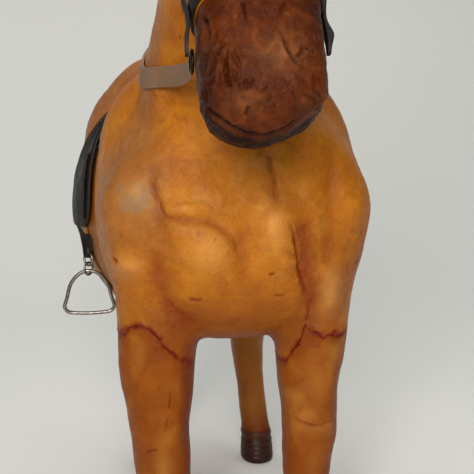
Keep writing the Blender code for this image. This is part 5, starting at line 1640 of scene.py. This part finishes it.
def make_materials():
    mats = {}
    # Each hide's colours: light and deep tones, the stain colour that also paints shade, the warm colour that
    # also paints shade, the rubbed colour that also paints highlights, and the colour of the painted sheen;
    # then roughness, grain and specular.
    mats["tan"] = hide_leather("tan_hide", (188, 116, 14), (164, 92, 6), (108, 20, 3), (128, 64, 3),
                               (222, 160, 84), (128, 106, 80), 0.40, 1.0, 0.17)
    mats["leg"] = hide_leather("leg_hide", (162, 90, 3), (138, 68, 2), (98, 14, 3), (118, 54, 2),
                               (204, 140, 60), (130, 106, 72), 0.38, 0.9, 0.12)
    mats["muzzle"] = hide_leather("muzzle_hide", (108, 48, 5), (64, 21, 2), (17, 4, 2), (86, 29, 2),
                                  (150, 92, 50), (120, 90, 64), 0.40, 1.0, 0.1)
    mats["black"] = strap_leather("black_strap", (9, 7, 7), (18, 14, 13), (46, 38, 34), 0.5, 0.0)
    mats["rein"] = strap_leather("rein_strap", (120, 90, 66), (140, 110, 88), (140, 112, 92), 0.50, 0.0)
    mats["girth"] = strap_leather("girth_hide", (150, 112, 72), (170, 130, 88), (120, 86, 56), 0.45, 0.0)
    mats["seat"] = strap_leather("seat_hide", (40, 22, 14), (66, 40, 24), (56, 38, 27), 0.36, 0.1)

    s = Surface("thread")
    s.bump((s.noise(2600.0, 2, 0.5, (1, 1, 3)), 0.06, 0.6))
    mats["thread"] = s.finish(s.mix(s.noise(500.0), (120, 96, 70), (86, 64, 44)), 0.7)

    s = Surface("hoof_horn")
    wear, band, _, _ = s.marks()
    rings = s.noise(330.0, 4, 0.6, (0.25, 0.25, 2.2))
    colour = s.mix(s.level(rings, 0.4, 0.62), (40, 18, 9), (66, 32, 16))
    colour = s.mix(s.math("MULTIPLY", wear, 0.6), colour, (20, 11, 8))
    colour = s.mix(s.math("MULTIPLY", band, 0.7), colour, (88, 46, 20))
    s.bump((rings, 0.3, 0.5), (s.noise(900.0, 4), 0.15, 0.5))
    mats["hoof"] = s.finish(colour, s.level(rings, 0.3, 0.7, 0.4, 0.56), specular=0.25)

    s = Surface("brown_felt")
    wool, fuzz = s.noise(700.0, 6, 0.7, distortion=1.5), s.noise(2400.0, 4, 0.7)
    s.bump((wool, 0.5, 0.7), (fuzz, 0.25, 0.7))
    mats["felt"] = s.finish(s.mix(s.level(wool, 0.35, 0.65), (52, 38, 29), (84, 64, 49)), 0.95)

    s = Surface("dark_hair")
    strands = s.noise(900.0, 4, 0.6, (1.6, 1.6, 0.18))
    s.bump((strands, 0.3, 0.7))
    colour = s.mix(s.level(strands, 0.35, 0.68), (26, 15, 11), (70, 42, 28))
    mats["hair"] = s.finish(colour, s.level(strands, 0.3, 0.7, 0.38, 0.6))

    s = Surface("dark_steel")
    tarnish, scratches = s.noise(420.0, 5, 0.65), s.noise(1600.0, 3, 0.6, (1, 1, 5))
    s.bump((tarnish, 0.12, 0.4), (scratches, 0.04, 0.4))
    colour = s.mix(s.level(tarnish, 0.38, 0.7), (150, 146, 140), (92, 84, 76))
    mats["steel"] = s.finish(colour, s.level(tarnish, 0.35, 0.7, 0.24, 0.46), metallic=1.0)

    s = Surface("blued_steel")
    tarnish = s.noise(420.0, 5, 0.65)
    s.bump((tarnish, 0.12, 0.4))
    mats["blued"] = s.finish(s.mix(tarnish, (46, 42, 40), (26, 22, 20)), 0.42, metallic=1.0)

    s = Surface("amber_glass")
    iris, pupil, _, _ = s.marks()
    brown = s.mix(s.level(s.noise(700.0, 4), 0.35, 0.65), (74, 34, 12), (36, 16, 7))
    colour = s.mix(iris, (16, 8, 5), brown)
    colour = s.mix(pupil, colour, (3, 2, 2))
    mats["eye"] = s.finish(colour, 0.08, coat=1.0, coat_roughness=0.03)
    return mats


# ---------------------------------------------------------------- floor, light and camera

def studio():
    back, bend = 0.55, 0.5  # where the backdrop leaves the floor, and the radius of its bend
    profile = [(-1.6, 0.0), (back, 0.0)]
    turns = np.linspace(0, math.pi / 2, 14)[1:]
    profile += [(back + bend * math.sin(t), bend - bend * math.cos(t)) for t in turns]
    profile += [(back + bend, 2.4)]
    points = [(x, y, z) for y, z in profile for x in (-2.2, 2.2)]
    faces = [(2 * i, 2 * i + 1, 2 * i + 3, 2 * i + 2) for i in range(len(profile) - 1)]
    mesh = mesh_from("backdrop", points, faces)
    mesh.shade_smooth()
    floor = add_object("backdrop", mesh)
    s = Surface("pale_paper")
    s.bump((s.noise(300.0, 3), 0.05, 0.3))
    floor.data.materials.append(s.finish(s.mix(s.noise(2.0, 2), (234, 235, 230), (240, 240, 236)), 0.9))

    lights = (
        # name, place, aim, size, power, colour
        ("key", (-0.24, -1.10, 0.66), (0.0, -0.05, 0.20), (0.5, 0.4), 13.5, (1.0, 0.97, 0.93)),
        ("fill", (1.1, -0.6, 0.9), (0.0, 0.0, 0.2), (0.9, 0.9), 1.5, (1.0, 1.0, 1.0)),
        ("top", (0.0, 0.35, 1.6), (0.0, 0.3, 0.2), (1.8, 1.2), 10.0, (1.0, 1.0, 1.0)),
    )
    for name, place, aim, size, power, colour in lights:
        data = bpy.data.lights.new(name, "AREA")
        data.shape, data.size, data.size_y = "RECTANGLE", *size
        data.energy, data.color = power, colour
        lamp = add_object(name, data)
        lamp.location = place
        lamp.rotation_euler = (Vector(aim) - Vector(place)).to_track_quat("-Z", "Y").to_euler()

    world = bpy.data.worlds.new("studio")
    world.use_nodes = True
    world.node_tree.nodes["Background"].inputs["Color"].default_value = (0.93, 0.95, 1.0, 1.0)
    world.node_tree.nodes["Background"].inputs["Strength"].default_value = 0.07
    bpy.context.scene.world = world
    bpy.context.scene.view_settings.view_transform = "Standard"


def photo_camera():
    """The photo's own view: from close by, a little to the pony's right and a little above."""
    aside, pitch, far = math.radians(-8.0), math.atan(0.177), 0.49
    data = bpy.data.cameras.new("photo_camera")
    data.sensor_width, data.lens = 36.0, 1000 / 474 * 36
    data.clip_start = 0.02
    camera = add_object("photo_camera", data)
    camera.location = (far * math.sin(aside) + 0.0037, -0.089 - far * math.cos(aside), 0.288)
    look = Vector((-math.sin(aside) * math.cos(pitch), math.cos(aside) * math.cos(pitch), -math.sin(pitch)))
    camera.rotation_euler = look.to_track_quat("-Z", "Y").to_euler()
    bpy.context.scene.camera = camera


def main():
    mats = make_materials()
    form = make_form()
    skin = Skin(form)
    body_pieces(form, mats)
    hooves(mats)
    eyes(mats)
    ears(mats)
    bridle(skin, mats)
    reins(skin, mats)
    felt_pad(skin, mats)
    flaps(skin, mats)
    seat(skin, mats)
    girth(skin, mats)
    hanging(skin, mats)
    hair(skin, mats)
    studio()
    photo_camera()


main()
